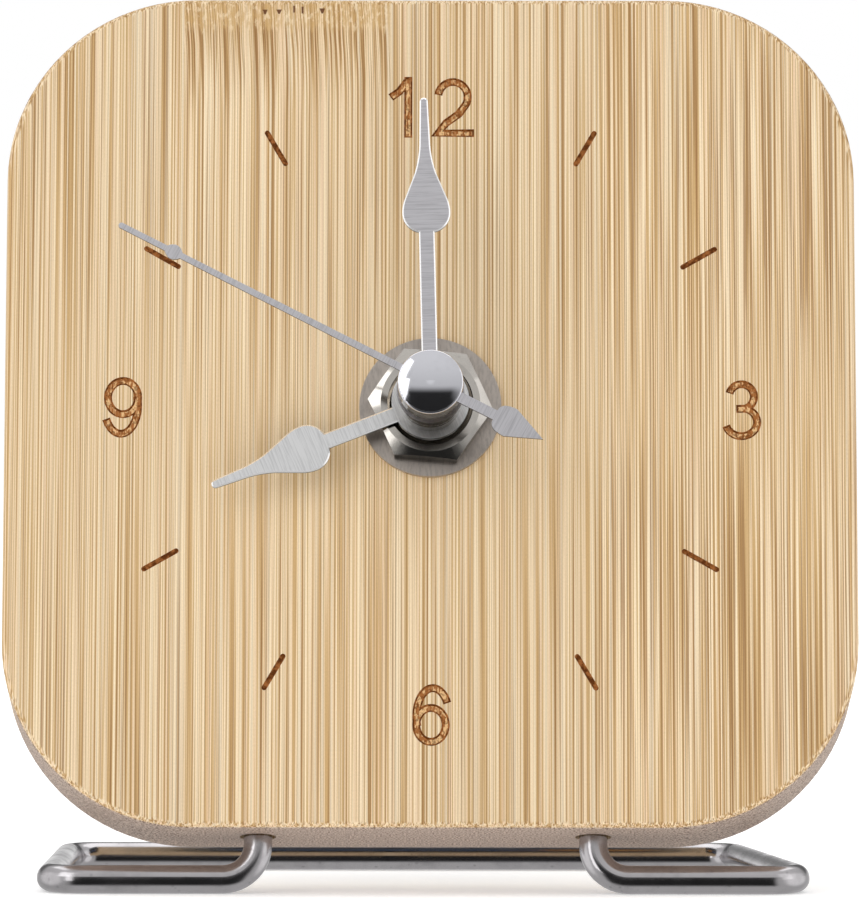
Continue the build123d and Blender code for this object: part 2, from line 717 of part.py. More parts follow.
# Coil: a flanged bobbin on the core with its winding between the flanges
coil_end = HEAD.from_local_coords((rotor_x - coil_len / 2, coil_y, core_z))
COIL = Plane(coil_end, x_dir=HEAD.y_dir, z_dir=HEAD.x_dir)
with BuildPart() as coil_bobbin:
    with BuildSketch(COIL):
        Circle(bobbin_d / 2)
    extrude(amount=coil_len)
    with BuildSketch(COIL, COIL.offset(coil_len - bobbin_flange_t)):
        Circle(bobbin_flange_d / 2)
    extrude(amount=bobbin_flange_t)
    with BuildSketch(COIL):
        Rectangle(core_w + 2 * core_clear, core_t + 2 * core_clear)
    extrude(amount=coil_len, mode=Mode.SUBTRACT)
coil_bobbin.part.label = "coil_bobbin"
export_step(coil_bobbin.part, "parts/coil_bobbin.step")

with BuildPart() as coil_winding:
    with BuildSketch(COIL.offset(bobbin_flange_t)):
        Circle(winding_d / 2)
        Circle(bobbin_d / 2 + press_clear, mode=Mode.SUBTRACT)
    extrude(amount=coil_len - 2 * bobbin_flange_t)
coil_winding.part.label = "coil_winding"
export_step(coil_winding.part, "parts/coil_winding.step")

# Circuit board with its crystal and chip
with BuildPart() as circuit_board:
    with BuildSketch(at(plate_back_z, pcb_x, pcb_y)):
        Rectangle(pcb_w, pcb_h)
    extrude(amount=-pcb_t)
circuit_board.part.label = "circuit_board"
export_step(circuit_board.part, "parts/circuit_board.step")

crystal_end = (pcb_x + crystal_reach, pcb_y, strip_z - crystal_d / 2)
with BuildPart() as quartz_crystal:
    with BuildSketch(Plane(HEAD.from_local_coords(crystal_end), x_dir=HEAD.y_dir, z_dir=HEAD.x_dir)):
        Circle(crystal_d / 2)
    extrude(amount=crystal_len)
    fillet(quartz_crystal.edges().sort_by(Axis.X)[-1], radius=crystal_ease)
quartz_crystal.part.label = "quartz_crystal"
export_step(quartz_crystal.part, "parts/quartz_crystal.step")

with BuildPart() as control_chip:
    with BuildSketch(at(strip_z, pcb_x - chip_reach, pcb_y)):
        Circle(chip_d / 2)
    extrude(amount=-chip_h)
    fillet(control_chip.faces().sort_by(HEAD_AXIS)[0].edges(), radius=chip_h / 2)
control_chip.part.label = "control_chip"
export_step(control_chip.part, "parts/control_chip.step")

# Cell: lies along the bay with its nub on the positive contact
cell_y = cell_d / 2 + cell_clear - inner
cell_z = floor_z - cell_clear - cell_d / 2
cell_end = inner - strip_clear - strip_t
cell_start = cell_end - cell_len
with BuildPart() as battery_cell:
    with BuildSketch(Plane(HEAD.from_local_coords((cell_start, cell_y, cell_z)), x_dir=HEAD.y_dir, z_dir=HEAD.x_dir)):
        Circle(cell_d / 2)
    extrude(amount=cell_len - cell_nub_len)
    fillet(battery_cell.edges().filter_by(GeomType.CIRCLE), radius=cell_ease)
    with BuildSketch(Plane(HEAD.from_local_coords((cell_end, cell_y, cell_z)), x_dir=HEAD.y_dir, z_dir=HEAD.x_dir)):
        Circle(cell_nub_d / 2)
    extrude(amount=-2 * cell_nub_len)
battery_cell.part.label = "battery_cell"
export_step(battery_cell.part, "parts/battery_cell.step")

# Contacts: leaf strips at the bay's ends with tails that run to the circuit board
strip_at = inner - strip_clear - strip_t / 2
leaf_low = leaf_contact_margin - inner
leaf_high = bay_top - leaf_contact_margin
pcb_right = pcb_x + pcb_w / 2 - strip_land
pcb_left = pcb_x - pcb_w / 2 + strip_land
pcb_low = pcb_y - pcb_h / 2 + strip_land
pcb_high = pcb_y + pcb_h / 2 - strip_land
strip_bend_r = chamber_r - strip_clear - strip_t / 2
with BuildPart() as positive_contact:
    with BuildSketch(at(cell_z + leaf_contact_w / 2)):
        with BuildLine():
            Line((strip_at, leaf_low), (strip_at, leaf_high))
        trace(line_width=strip_t)
    extrude(amount=strip_z - strip_w - cell_z - leaf_contact_w / 2)
    with BuildSketch(at(strip_z)):
        with BuildLine():
            Polyline((strip_at, leaf_low), (strip_at, pcb_low), (pcb_right, pcb_low))
        trace(line_width=strip_t)
    extrude(amount=-strip_w)
positive_contact.part.label = "positive_contact"
export_step(positive_contact.part, "parts/positive_contact.step")

bow_x = cell_start - strip_t / 2
with BuildPart() as negative_contact:
    with BuildSketch(at(cell_z + leaf_contact_w / 2)):
        with BuildLine():
            ThreePointArc((-strip_at, leaf_low), (bow_x, cell_y), (-strip_at, leaf_high))
        trace(line_width=strip_t)
    extrude(amount=strip_z - strip_w - cell_z - leaf_contact_w / 2)
    with BuildSketch(at(strip_z)):
        with BuildLine():
            corner = (-strip_at, strip_at)
            over = (pcb_left, strip_at)
            FilletPolyline((-strip_at, leaf_high), corner, over, (pcb_left, pcb_high), radius=strip_bend_r)
        trace(line_width=strip_t)
    extrude(amount=-strip_w)
negative_contact.part.label = "negative_contact"
export_step(negative_contact.part, "parts/negative_contact.step")

# Setting shaft with its pinion, and the knob on the back
knob_z = back_z + cover_rim_h - knob_gap
with BuildPart() as setting_pinion:
    with BuildSketch(at(motion_z + end_play, setting_x, setting_y)):
        add(gear(setting_teeth, setting_module, setting_turn, pinion_tooth_shares))
    extrude(amount=-wheel_t - 2 * end_play)
    add(turned(setting_x, setting_y, (motion_z, bearing_z - end_play, arbor_d)))
    add(turned(setting_x, setting_y, (bearing_z - end_play, pivot_end_z, pivot_d)))
    add(turned(setting_x, setting_y, (knob_z - knob_t / 2, motion_z - wheel_t, setting_shaft_d)))
setting_pinion.part.label = "setting_pinion"
export_step(setting_pinion.part, "parts/setting_pinion.step")

with BuildPart() as setting_knob:
    with BuildSketch(at(knob_z, setting_x, setting_y)):
        Circle(knob_d / 2)
        with PolarLocations(knob_d / 2, knob_grip_count):
            Circle(knob_d * knob_grip_share / 2, mode=Mode.SUBTRACT)
    extrude(amount=-knob_t)
    chamfer(setting_knob.faces().sort_by(HEAD_AXIS)[0].edges(), length=knob_d * knob_ease_share)
    with BuildSketch(at(knob_z, setting_x, setting_y)):
        Circle(setting_shaft_d / 2 + press_clear)
    extrude(amount=-knob_t / 2, mode=Mode.SUBTRACT)
setting_knob.part.label = "setting_knob"
export_step(setting_knob.part, "parts/setting_knob.step")

# Hour hand and its collet
hour_fit_d = hour_seat_d + 2 * press_clear
with BuildPart() as hour_hand:
    with BuildSketch(at(hour_hand_z, turn=-hour_clock)):
        add(leaf_hand(hour_eye_d, hour_fit_d, hour_leaf_at, hour_tip_at))
    extrude(amount=hand_t)
    front_rim = hour_hand.faces().sort_by(HEAD_AXIS)[-1].outer_wire().edges()
    chamfer(front_rim.filter_by(GeomType.LINE), length=hand_bevel)
hour_hand.part.label = "hour_hand"
export_step(hour_hand.part, "parts/hour_hand.step")

hour_front_z = hour_hand_z + hand_t
with BuildPart() as hour_hand_collet:
    add(turned(0, 0, (hour_front_z, hour_front_z + hour_collet_len, hour_collet_d)))
    add(turned(0, 0, (hour_front_z, hour_front_z + hour_collet_len, hour_fit_d)), mode=Mode.SUBTRACT)
hour_hand_collet.part.label = "hour_hand_collet"
export_step(hour_hand_collet.part, "parts/hour_hand_collet.step")

# Minute hand and its collet
minute_fit_d = minute_seat_d + 2 * press_clear
with BuildPart() as minute_hand:
    with BuildSketch(at(minute_hand_z, turn=-minute_clock)):
        add(leaf_hand(minute_eye_d, minute_fit_d, minute_leaf_at, minute_tip_at))
    extrude(amount=hand_t)
    front_rim = minute_hand.faces().sort_by(HEAD_AXIS)[-1].outer_wire().edges()
    chamfer(front_rim.filter_by(GeomType.LINE), length=hand_bevel)
minute_hand.part.label = "minute_hand"
export_step(minute_hand.part, "parts/minute_hand.step")

with BuildPart() as minute_hand_collet:
    add(turned(0, 0, (minute_shoulder_z, minute_hand_z, minute_collet_d)))
    add(turned(0, 0, (minute_shoulder_z, minute_hand_z, minute_fit_d)), mode=Mode.SUBTRACT)
minute_hand_collet.part.label = "minute_hand_collet"
export_step(minute_hand_collet.part, "parts/minute_hand_collet.step")

# Second hand: a slim blade with a small lozenge near its tip and an arrow-shaped tail
second_fit_d = second_seat_d + 2 * press_clear
second_tip_r = second_tip_w / 2
lozenge_low = lozenge_at - lozenge_len / 2
lozenge_high = lozenge_at + lozenge_len / 2
with BuildPart() as second_hand:
    with BuildSketch(at(second_hand_z, turn=-second_clock)):
        with BuildLine():
            Polyline((0, 0), (second_root_w / 2, 0), (second_tip_r, second_tip_at - second_tip_r))
            RadiusArc((second_tip_r, second_tip_at - second_tip_r), (0, second_tip_at), -second_tip_r)
            mirror(about=Plane.YZ)
        make_face()
        with BuildLine():
            Spline((0, lozenge_low), (lozenge_w / 2, lozenge_at), (0, lozenge_high))
            mirror(about=Plane.YZ)
        make_face()
        with BuildLine():
            Line((0, 0), (tail_neck_w / 2, 0))
            Line((tail_neck_w / 2, 0), (tail_neck_w / 2, -tail_neck_at))
            Bezier((tail_neck_w / 2, -tail_neck_at), (tail_w / 2, -tail_neck_at), (tail_w / 2, -tail_wide_at))
            Line((tail_w / 2, -tail_wide_at), (0, -tail_tip_at))
            mirror(about=Plane.YZ)
        make_face()
        Circle(cap_d / 2)
        Circle(second_fit_d / 2, mode=Mode.SUBTRACT)
    extrude(amount=second_hand_t)
second_hand.part.label = "second_hand"
export_step(second_hand.part, "parts/second_hand.step")

with BuildPart() as second_hand_collet:
    add(turned(0, 0, (second_shoulder_z, second_hand_z, cap_d)))
    add(turned(0, 0, (second_shoulder_z, second_hand_z, second_fit_d)), mode=Mode.SUBTRACT)
second_hand_collet.part.label = "second_hand_collet"
export_step(second_hand_collet.part, "parts/second_hand_collet.step")

cap_z = second_hand_z + second_hand_t
with BuildPart() as second_hand_cap:
    with BuildSketch(Plane(HEAD.origin, x_dir=HEAD.x_dir, z_dir=-HEAD.y_dir)):
        with BuildLine():
            rim_z = cap_z + cap_rim_t
            top_z = rim_z + cap_dome_h
            side = (cap_d / 2, rim_z - cap_round)
            rim = (cap_d / 2 - cap_round, rim_z)
            Polyline((0, top_z), (0, cap_z), (cap_d / 2, cap_z), side)
            TangentArc(side, rim, tangent=(0, 1))
            TangentArc((0, top_z), rim, tangent=(1, 0))
        make_face()
    revolve(axis=HEAD_AXIS)
    add(turned(0, 0, (cap_z, cap_z + cap_bore_depth, second_fit_d)), mode=Mode.SUBTRACT)
second_hand_cap.part.label = "second_hand_cap"
export_step(second_hand_cap.part, "parts/second_hand_cap.step")
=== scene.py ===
"""Looks of a bamboo desk clock on a bent-wire stand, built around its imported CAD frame."""
import json
import math

import bmesh
import bpy
from bpy.props import FloatProperty, FloatVectorProperty, PointerProperty
from mathutils import Matrix, Vector


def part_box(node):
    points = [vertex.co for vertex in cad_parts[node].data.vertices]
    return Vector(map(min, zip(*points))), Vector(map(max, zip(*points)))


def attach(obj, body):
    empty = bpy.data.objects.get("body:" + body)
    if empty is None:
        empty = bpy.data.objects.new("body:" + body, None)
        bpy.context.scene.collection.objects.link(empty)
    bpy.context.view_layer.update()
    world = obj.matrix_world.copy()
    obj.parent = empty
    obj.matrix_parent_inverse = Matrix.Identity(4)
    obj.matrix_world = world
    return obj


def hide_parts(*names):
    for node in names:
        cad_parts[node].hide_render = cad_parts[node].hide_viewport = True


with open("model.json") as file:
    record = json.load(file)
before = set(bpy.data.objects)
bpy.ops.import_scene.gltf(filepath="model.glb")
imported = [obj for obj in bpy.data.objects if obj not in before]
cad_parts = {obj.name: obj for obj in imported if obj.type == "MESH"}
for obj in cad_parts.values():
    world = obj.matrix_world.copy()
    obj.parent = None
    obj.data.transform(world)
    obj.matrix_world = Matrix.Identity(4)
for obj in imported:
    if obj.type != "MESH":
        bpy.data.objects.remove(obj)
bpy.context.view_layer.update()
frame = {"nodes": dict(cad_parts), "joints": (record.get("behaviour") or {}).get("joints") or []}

bl_info = {
    "name": "Bamboo Desk Clock",
    "version": (1, 0, 0),
    "blender": (4, 5, 0),
    "location": "View3D > Sidebar > Clock",
    "description": "Engraves and finishes a bamboo desk clock with a quartz movement",
    "category": "Object",
}

MM = 0.001
TO_MM = (1000, 1000, 1000)
WHITE = (1, 1, 1, 1)

# The dial's own frame, from the hands' axis: X across, Y up the board, Z out of the face
DIAL_JOINT = next(j for j in frame["joints"] if j["name"] == "second_spin")
DIAL_OUT = -Vector(DIAL_JOINT["axis"]).normalized()
DIAL_UP = DIAL_OUT.cross(Vector((1, 0, 0)))
DIAL = Matrix.Translation(Vector(DIAL_JOINT["pos_m"])) @ Matrix(
    ((1, 0, 0), DIAL_UP, DIAL_OUT)
).transposed().to_4x4()

# Each numeral's place on the dial in millimetres: left, bottom, width and height
NUMERALS = {
    "1": (-4.45, 29.55, 2.75, 6.85),
    "2": (0.1, 29.7, 4.6, 6.5),
    "3": (30.7, -3.4, 4.4, 6.5),
    "6": (-1.9, -36.3, 4.0, 6.6),
    "9": (-34.52, -3.22, 4.1, 6.6),
}
# Each numeral's strokes in shares of its box: ("line", points) or ("arc", centre, radii, start and end angle)
STROKES = {
    "1": [
        [("line", (-0.13, 0.68), (0.36, 0.79), (0.86, 1.0))],
        [("line", (0.86, 1.06), (0.86, -0.06))],
    ],
    "2": [
        [
            ("arc", (0.49, 0.705), (0.42, 0.295), (172, -32)),
            ("line", (0.66, 0.375), (0.30, 0.20), (0.07, 0.0), (1.09, 0.0)),
        ],
    ],
    "3": [
        [("arc", (0.49, 0.76), (0.37, 0.24), (165, -75)), ("line", (0.33, 0.525))],
        [("arc", (0.48, 0.27), (0.47, 0.27), (78, -165))],
    ],
    "6": [
        [("arc", (0.50, 0.315), (0.49, 0.315), (0, 360))],
        [("arc", (0.56, 0.47), (0.55, 0.53), (200, 28))],
    ],
    "9": [
        [("arc", (0.50, 0.685), (0.49, 0.315), (0, 360))],
        [("arc", (0.44, 0.53), (0.55, 0.53), (20, -152))],
    ],
}
ARC_STEP = 9
ARC_STEPS_LEAST = 6
TICK_HOURS = (1, 2, 4, 5, 7, 8, 10, 11)
TICK_END_STEPS = 8

# The knot at the upper left, in millimetres up the dial: where the fibres start to sway and to lean over,
# where the dark streaks run, and where the blotches start
KNOT_SWAY = (31.0, 43.0)
KNOT_LEAN = 33.0
KNOT_STREAK = (30.0, 41.0)
KNOT_STREAK_END = (42.0, 41.4)
KNOT_PATCH = (40.8, 42.6)
# Dark marks in the knot in millimetres on the dial: place and height of the lower end, width, height,
# and share of the width at the lower end
KNOT_MARKS = (
    (-17.7, 43.2, 0.58, 0.62, 0.2),
    (-16.2, 43.25, 0.66, 0.58, 0.2),
    (-11.6, 43.3, 0.66, 0.66, 0.2),
    (-14.6, 43.4, 0.22, 0.85, 0.8),
    (-13.7, 43.3, 0.24, 0.85, 0.8),
)


def screen(red, green, blue):
    """A colour given in 8-bit screen values, as linear light."""
    shares = [v / 255 for v in (red, green, blue)]
    return tuple(v / 12.92 if v <= 0.04045 else ((v + 0.055) / 1.055) ** 2.4 for v in shares)


def colour_prop(name, description, default):
    return FloatVectorProperty(
        name=name, description=description, default=default, subtype="COLOR", size=3, min=0, max=1
    )


def length_prop(name, description, millimetres):
    return FloatProperty(
        name=name, description=description, default=millimetres * MM, unit="LENGTH", min=0, precision=5
    )


def power_prop(name, description, watts):
    return FloatProperty(name=name, description=description, default=watts, unit="POWER")


class ClockDialSettings(bpy.types.PropertyGroup):
    """Sizes of the marks in the dial, of the bamboo strips and of the bush's thread"""

    tick_inner: length_prop("Tick start", "Radius where the hour ticks start", 30.6)
    tick_outer: length_prop("Tick end", "Radius where the hour ticks end", 35.05)
    tick_width: length_prop("Tick width", "Width of an hour tick", 0.56)
    stroke_width: length_prop("Stroke width", "Width of the numerals' strokes", 0.86)
    burn_depth: length_prop("Burn depth", "Depth of the burnt marks", 0.16)
    burn_wall: length_prop("Burn wall", "Width of the dark sloping edge of a burnt mark", 0.19)
    strip_width: length_prop("Strip width", "Width of one laminated bamboo strip", 22.0)
    strip_start: length_prop("Strip start", "A joint between two strips, left of the dial's centre", 26.3)
    thread_pitch: length_prop("Thread pitch", "Distance between two turns of the bush's thread", 0.75)
    thread_depth: length_prop("Thread depth", "Depth of the bush's thread", 0.36)


class ClockFinishSettings(bpy.types.PropertyGroup):
    """Colours of the clock's finishes"""

    bamboo_light: colour_prop("Light fibre", "The palest lines of the wood", screen(249, 228, 192))
    bamboo_mid: colour_prop("Bamboo", "Wood between the fibres", screen(230, 204, 166))
    bamboo_gold: colour_prop("Golden fibre", "Wood along the fibres", screen(199, 160, 102))
    bamboo_brown: colour_prop("Brown fibre", "The darkest fibres", screen(148, 107, 61))
    bamboo_pink: colour_prop("Pink fibre", "Warm strips between the fibres", screen(224, 187, 151))
    bamboo_grey: colour_prop("Grey fibre", "Dull strips between the fibres", screen(206, 191, 168))
    # End grain: the cut ends' own colour with painted shade mixed in, greyer and darker than the face.
    end_grain_and_shade: colour_prop("End grain", "Cut ends of the fibres", screen(203, 183, 167))
    end_dark: colour_prop("End grain pores", "Pores in the cut ends", screen(117, 95, 83))
    burn_floor: colour_prop("Burnt floor", "Floor of the burnt marks", screen(163, 103, 55))
    burn_light: colour_prop("Burnt fleck", "Fibres left pale in the burnt marks", screen(230, 188, 134))
    burn_edge: colour_prop("Burnt edge", "Edges of the burnt marks", screen(97, 52, 19))
    aluminium: colour_prop(
        "Aluminium", "Brushed sheet of the minute and second hands", screen(224, 222, 226)
    )
    aluminium_pale: colour_prop("Pale aluminium", "Brushed sheet of the hour hand", screen(255, 255, 255))
    steel: colour_prop("Steel", "Wire of the stand", screen(188, 185, 187))
    cap: colour_prop("Cap", "Polished cap of the second hand", screen(222, 222, 228))
    nickel: colour_prop("Nickel", "Plating of nut, bush, collets and contacts", screen(204, 199, 192))
    washer: colour_prop("Washer", "Satin steel of the washer", screen(206, 196, 187))
    case_black: colour_prop("Case black", "Moulded movement case", screen(30, 30, 32))
    gear_white: colour_prop("Gear white", "Moulded wheels of the train", screen(226, 224, 214))
    plate_grey: colour_prop("Plate grey", "Moulded plate of the train", screen(198, 196, 188))
    copper: colour_prop("Copper", "Enamelled coil wire", screen(184, 96, 48))
    iron: colour_prop("Iron", "Sheet iron of the step motor", screen(150, 150, 154))
    ferrite: colour_prop("Ferrite", "The rotor's magnet", screen(84, 84, 88))
    circuit: colour_prop("Circuit", "Circuit board lacquer", screen(30, 92, 52))
    crystal: colour_prop("Crystal", "Can of the quartz crystal", screen(206, 206, 210))
    epoxy: colour_prop("Epoxy", "Drop of resin over the chip", screen(16, 16, 17))
    rubber: colour_prop("Rubber", "Gasket behind the dial", screen(22, 22, 22))
    cell_body: colour_prop("Cell body", "Sleeve of the cell", screen(44, 60, 84))
    cell_band: colour_prop("Cell band", "Band at the cell's positive end", screen(196, 138, 74))
    cell_dust: colour_prop("Cell dust", "Dust on the cell's sleeve", (0.6, 0.6, 0.6))


class ClockStageSettings(bpy.types.PropertyGroup):
    """Floor, light and camera"""

    floor_size: FloatProperty(name="Floor", description="Width of the floor", default=12.0, unit="LENGTH")
    floor_colour: colour_prop("Floor colour", "Plain pale floor", (0.97, 0.97, 0.97))
    floor_glow: FloatProperty(name="Floor glow", description="Light of the floor, lit from below", default=0.30)
    key_power: power_prop("Key", "Power of the key light", 2.2)
    side_power: power_prop("Side", "Power of the tall light at the left", 1.2)
    fill_power: power_prop("Fill", "Power of the fill light", 0.6)
    top_power: power_prop("Top", "Power of the light over the floor", 6.0)
    sky_level: FloatProperty(name="Sky", description="Brightness of the studio round the clock", default=0.585)
    lens: FloatProperty(name="Lens", description="Focal length", default=339.4, unit="CAMERA")
    camera_at: FloatVectorProperty(
        name="Camera", description="Place of the camera", default=(-0.00009, -0.90929, 0.05931),
        subtype="TRANSLATION",
    )
    camera_aim: FloatVectorProperty(
        name="Aim", description="Point in the middle of the picture", default=(-0.00009, -0.013, 0.04647),
        subtype="TRANSLATION",
    )
    camera_roll: FloatProperty(
        name="Roll", description="Tilt of the camera", default=math.radians(0.07), subtype="ANGLE"
    )


class DeskClockSettings(bpy.types.PropertyGroup):
    """All settings of the desk clock"""

    dial: PointerProperty(name="Dial", description="Sizes of marks, strips and thread", type=ClockDialSettings)
    finish: PointerProperty(name="Finish", description="Colours of the pieces", type=ClockFinishSettings)
    stage: PointerProperty(name="Stage", description="Floor, light and camera", type=ClockStageSettings)


def settings():
    return bpy.context.scene.desk_clock


def rgba(colour, factor=1.0):
    """A colour with full alpha, multiplied by the factor."""
    return (*(c * factor for c in colour), 1.0)


def lighter(colour, factor, lift=0.0):
    return tuple(min(1.0, c * factor + lift) for c in colour)


# Shader nodes


def plug(tree, socket, value):
    """Links a socket to another node's output, or sets it to a value."""
    if isinstance(value, bpy.types.NodeSocket):
        tree.links.new(value, socket)
    else:
        socket.default_value = value


def add(tree, kind, inputs, **choices):
    """A new node with its choices set, and its inputs set or linked."""
    node = tree.nodes.new(kind)
    for name, value in choices.items():
        setattr(node, name, value)
    for name, value in inputs.items():
        plug(tree, node.inputs[name], value)
    return node


def calc(tree, operation, first, second=0.0, third=0.0):
    return add(tree, "ShaderNodeMath", {0: first, 1: second, 2: third}, operation=operation).outputs[0]


def plus(tree, first, second):
    return calc(tree, "ADD", first, second)


def minus(tree, first, second):
    return calc(tree, "SUBTRACT", first, second)


def times(tree, first, second):
    return calc(tree, "MULTIPLY", first, second)


def size_of(tree, value):
    return calc(tree, "ABSOLUTE", value)


def ramp(tree, value, start, end, low=0.0, high=1.0, smooth=True):
    """A value that goes from low to high as the given one goes from start to end."""
    node = add(
        tree, "ShaderNodeMapRange", {"Value": value, 1: start, 2: end, 3: low, 4: high},
        interpolation_type="SMOOTHSTEP" if smooth else "LINEAR",
    )
    return node.outputs[0]


def mix(tree, share, first, second, blend="MIX"):
    node = add(tree, "ShaderNodeMix", {0: share, 6: first, 7: second}, data_type="RGBA", blend_type=blend)
    return node.outputs[2]


def vector_math(tree, operation, first, second):
    return add(tree, "ShaderNodeVectorMath", {0: first, 1: second}, operation=operation).outputs


def scaled(tree, vector, factors):
    return vector_math(tree, "MULTIPLY", vector, factors)[0]


def dot(tree, first, second):
    return vector_math(tree, "DOT_PRODUCT", first, second)["Value"]


def split(tree, vector):
    return add(tree, "ShaderNodeSeparateXYZ", {0: vector}).outputs


def noise(tree, vector, scale=1.0, detail=2.0, roughness=0.5, distortion=0.0):
    inputs = {
        "Vector": vector, "Scale": scale, "Detail": detail, "Roughness": roughness, "Distortion": distortion,
    }
    return add(tree, "ShaderNodeTexNoise", inputs).outputs[0]


def bump(tree, height, strength, distance_mm):
    inputs = {"Height": height, "Strength": strength, "Distance": distance_mm * MM}
    return add(tree, "ShaderNodeBump", inputs).outputs[0]


def shader_group(name, inputs, outputs, build):
    """The shader group of that name, filled on its first use by a function that returns its outputs."""
    if name in bpy.data.node_groups:
        return bpy.data.node_groups[name]
    group = bpy.data.node_groups.new(name, "ShaderNodeTree")
    for socket, kind in inputs.items():
        group.interface.new_socket(socket, in_out="INPUT", socket_type=kind)
    for socket in outputs:
        group.interface.new_socket(socket, in_out="OUTPUT", socket_type="NodeSocketFloat")
    given, made = group.nodes.new("NodeGroupInput"), group.nodes.new("NodeGroupOutput")
    for socket, value in zip(made.inputs, build(group, *given.outputs[:len(inputs)])):
        group.links.new(value, socket)
    return group


def placed(tree, group, **inputs):
    """The outputs of a group that is placed in a material's tree."""
    return add(tree, "ShaderNodeGroup", inputs, node_tree=group).outputs


def knot_marks(tree, across, up, out):
    """One in the knot's dark marks, and nought elsewhere and away from the face."""
    soft_side, soft_foot, soft_head, face_depth = 0.05, 0.08, 0.1, (-4.0, -2.0)
    marks = 0.0
    for place, low, width, height, foot in KNOT_MARKS:
        above = minus(tree, up, low)
        reach = ramp(tree, above, 0.0, height, width / 2 * foot, width / 2, smooth=False)
        off = size_of(tree, minus(tree, across, place))
        inside = ramp(tree, minus(tree, off, reach), soft_side, -soft_side)
        ends = times(tree, ramp(tree, above, 0.0, soft_foot), ramp(tree, above, height, height - soft_head))
        marks = calc(tree, "MAXIMUM", marks, times(tree, inside, ends))
    return times(tree, marks, ramp(tree, out, *face_depth))


def fibre_group():
    """Bamboo fibres: lines along Y of the board in its glued strips, with one knot figure at the upper left."""
    dial = settings().dial
    sway_reach, lean_rate, strip_shift, stretch, level_jitter = 0.3, 0.003, 71.0, 0.0022, 4.0

    def build(tree, position):
        place = scaled(tree, position, TO_MM)
        across, up, out = split(tree, place)
        from_joint = plus(tree, across, dial.strip_start / MM)
        strip = calc(tree, "FLOOR", calc(tree, "DIVIDE", from_joint, dial.strip_width / MM))
        chance = add(tree, "ShaderNodeTexWhiteNoise", {"W": strip}, noise_dimensions="1D").outputs[0]
        knot_strip = calc(tree, "COMPARE", strip, 0.0, 0.5)
        right = ramp(tree, strip, 1.0, 2.0, smooth=False)
        # The fibres' own position: swayed and leant in the knot, other in each strip, and stretched along Y
        knot = times(tree, knot_strip, ramp(tree, up, *KNOT_SWAY))
        swirl = noise(tree, scaled(tree, place, (0.45, 0.16, 0.45)), detail=1.0)
        sway = times(tree, minus(tree, swirl, 0.5), times(tree, knot, sway_reach))
        over = calc(tree, "MAXIMUM", minus(tree, up, KNOT_LEAN), 0.0)
        lean = times(tree, times(tree, calc(tree, "POWER", over, 2.0), lean_rate), knot_strip)
        x = plus(tree, plus(tree, across, plus(tree, sway, lean)), times(tree, chance, strip_shift))
        bend = plus(tree, times(tree, knot, 0.0010), times(tree, right, 0.0007))
        y = times(tree, up, plus(tree, bend, stretch))
        along = add(tree, "ShaderNodeCombineXYZ", {0: x, 1: y, 2: out}).outputs[0]
        # Golden, fine and tinted lines, richer at the right and in the knot
        broad = times(tree, minus(tree, noise(tree, along, 0.36, 1.0), 0.5), 0.18)
        richer = plus(tree, times(tree, right, 0.02), times(tree, knot, 0.06))
        gold = plus(tree, plus(tree, noise(tree, along, 5.4, 1.0, 0.45), broad), richer)
        fine = plus(tree, noise(tree, along, 8.0, 1.0), times(tree, richer, 0.5))
        contrast = ramp(tree, strip, 1.0, 2.0, 0.15, 0.75, smooth=False)
        fine = plus(tree, fine, times(tree, minus(tree, fine, 0.49), contrast))
        tint = noise(tree, along, 2.4)
        # The knot's streaks and blotches, which end at another height on each fibre
        jitter = minus(tree, noise(tree, scaled(tree, along, (1.3, 0.0, 0.3)), detail=1.0), 0.5)
        level = plus(tree, up, times(tree, jitter, level_jitter))
        streak = times(tree, ramp(tree, level, *KNOT_STREAK, smooth=False), ramp(tree, level, *KNOT_STREAK_END))
        patch = times(tree, ramp(tree, level, *KNOT_PATCH), knot_strip)
        blotch = noise(tree, scaled(tree, place, (2.6, 0.85, 2.6)), 1.0, 3.0, 0.65, 0.4)
        marks = knot_marks(tree, across, up, out)
        return gold, fine, tint, chance, times(tree, streak, knot_strip), patch, blotch, marks

    outputs = ("Gold", "Fine", "Tint", "Strip", "Streak", "Patch", "Blotch", "Eyes")
    return shader_group("bamboo_fibres", {"Position": "NodeSocketVector"}, outputs, build)


def brushed_group():
    """Brushed sheet: fine lines that run one way, with faint cloudy wear."""

    def build(tree, position, fineness, way):
        run = times(tree, dot(tree, position, way), 0.96)
        squeeze = add(tree, "ShaderNodeVectorMath", {0: way, "Scale": run}, operation="SCALE").outputs[0]
        stretched = scaled(tree, vector_math(tree, "SUBTRACT", position, squeeze)[0], TO_MM)
        return noise(tree, stretched, fineness, 3.0, 0.65), noise(tree, position, 420.0, 3.0, 0.6)

    inputs = {"Position": "NodeSocketVector", "Fineness": "NodeSocketFloat", "Way": "NodeSocketVector"}
    return shader_group("brushed_lines", inputs, ("Lines", "Wear"), build)


def metal_wear_group():
    """Handled bright metal: cloudy film, small pits and fine scratches."""

    def build(tree, position):
        film = noise(tree, position, 260.0, 4.0, 0.6)
        cells = add(tree, "ShaderNodeTexVoronoi", {"Vector": position, "Scale": 900.0}).outputs[0]
        scratch = noise(tree, scaled(tree, position, (4000, 700, 2400)), 1.0, 2.0, 0.7, 0.6)
        return film, ramp(tree, cells, 0.22, 0.10), scratch

    return shader_group("metal_wear", {"Position": "NodeSocketVector"}, ("Film", "Pits", "Scratch"), build)


def moulded_group():
    """Moulded plastic: fine spark-eroded skin and a slow change of gloss."""

    def build(tree, position, grain):
        return noise(tree, position, grain, 2.0, 0.6), noise(tree, position, 180.0)

    inputs = {"Position": "NodeSocketVector", "Grain": "NodeSocketFloat"}
    return shader_group("moulded_skin", inputs, ("Skin", "Gloss"), build)


# Materials


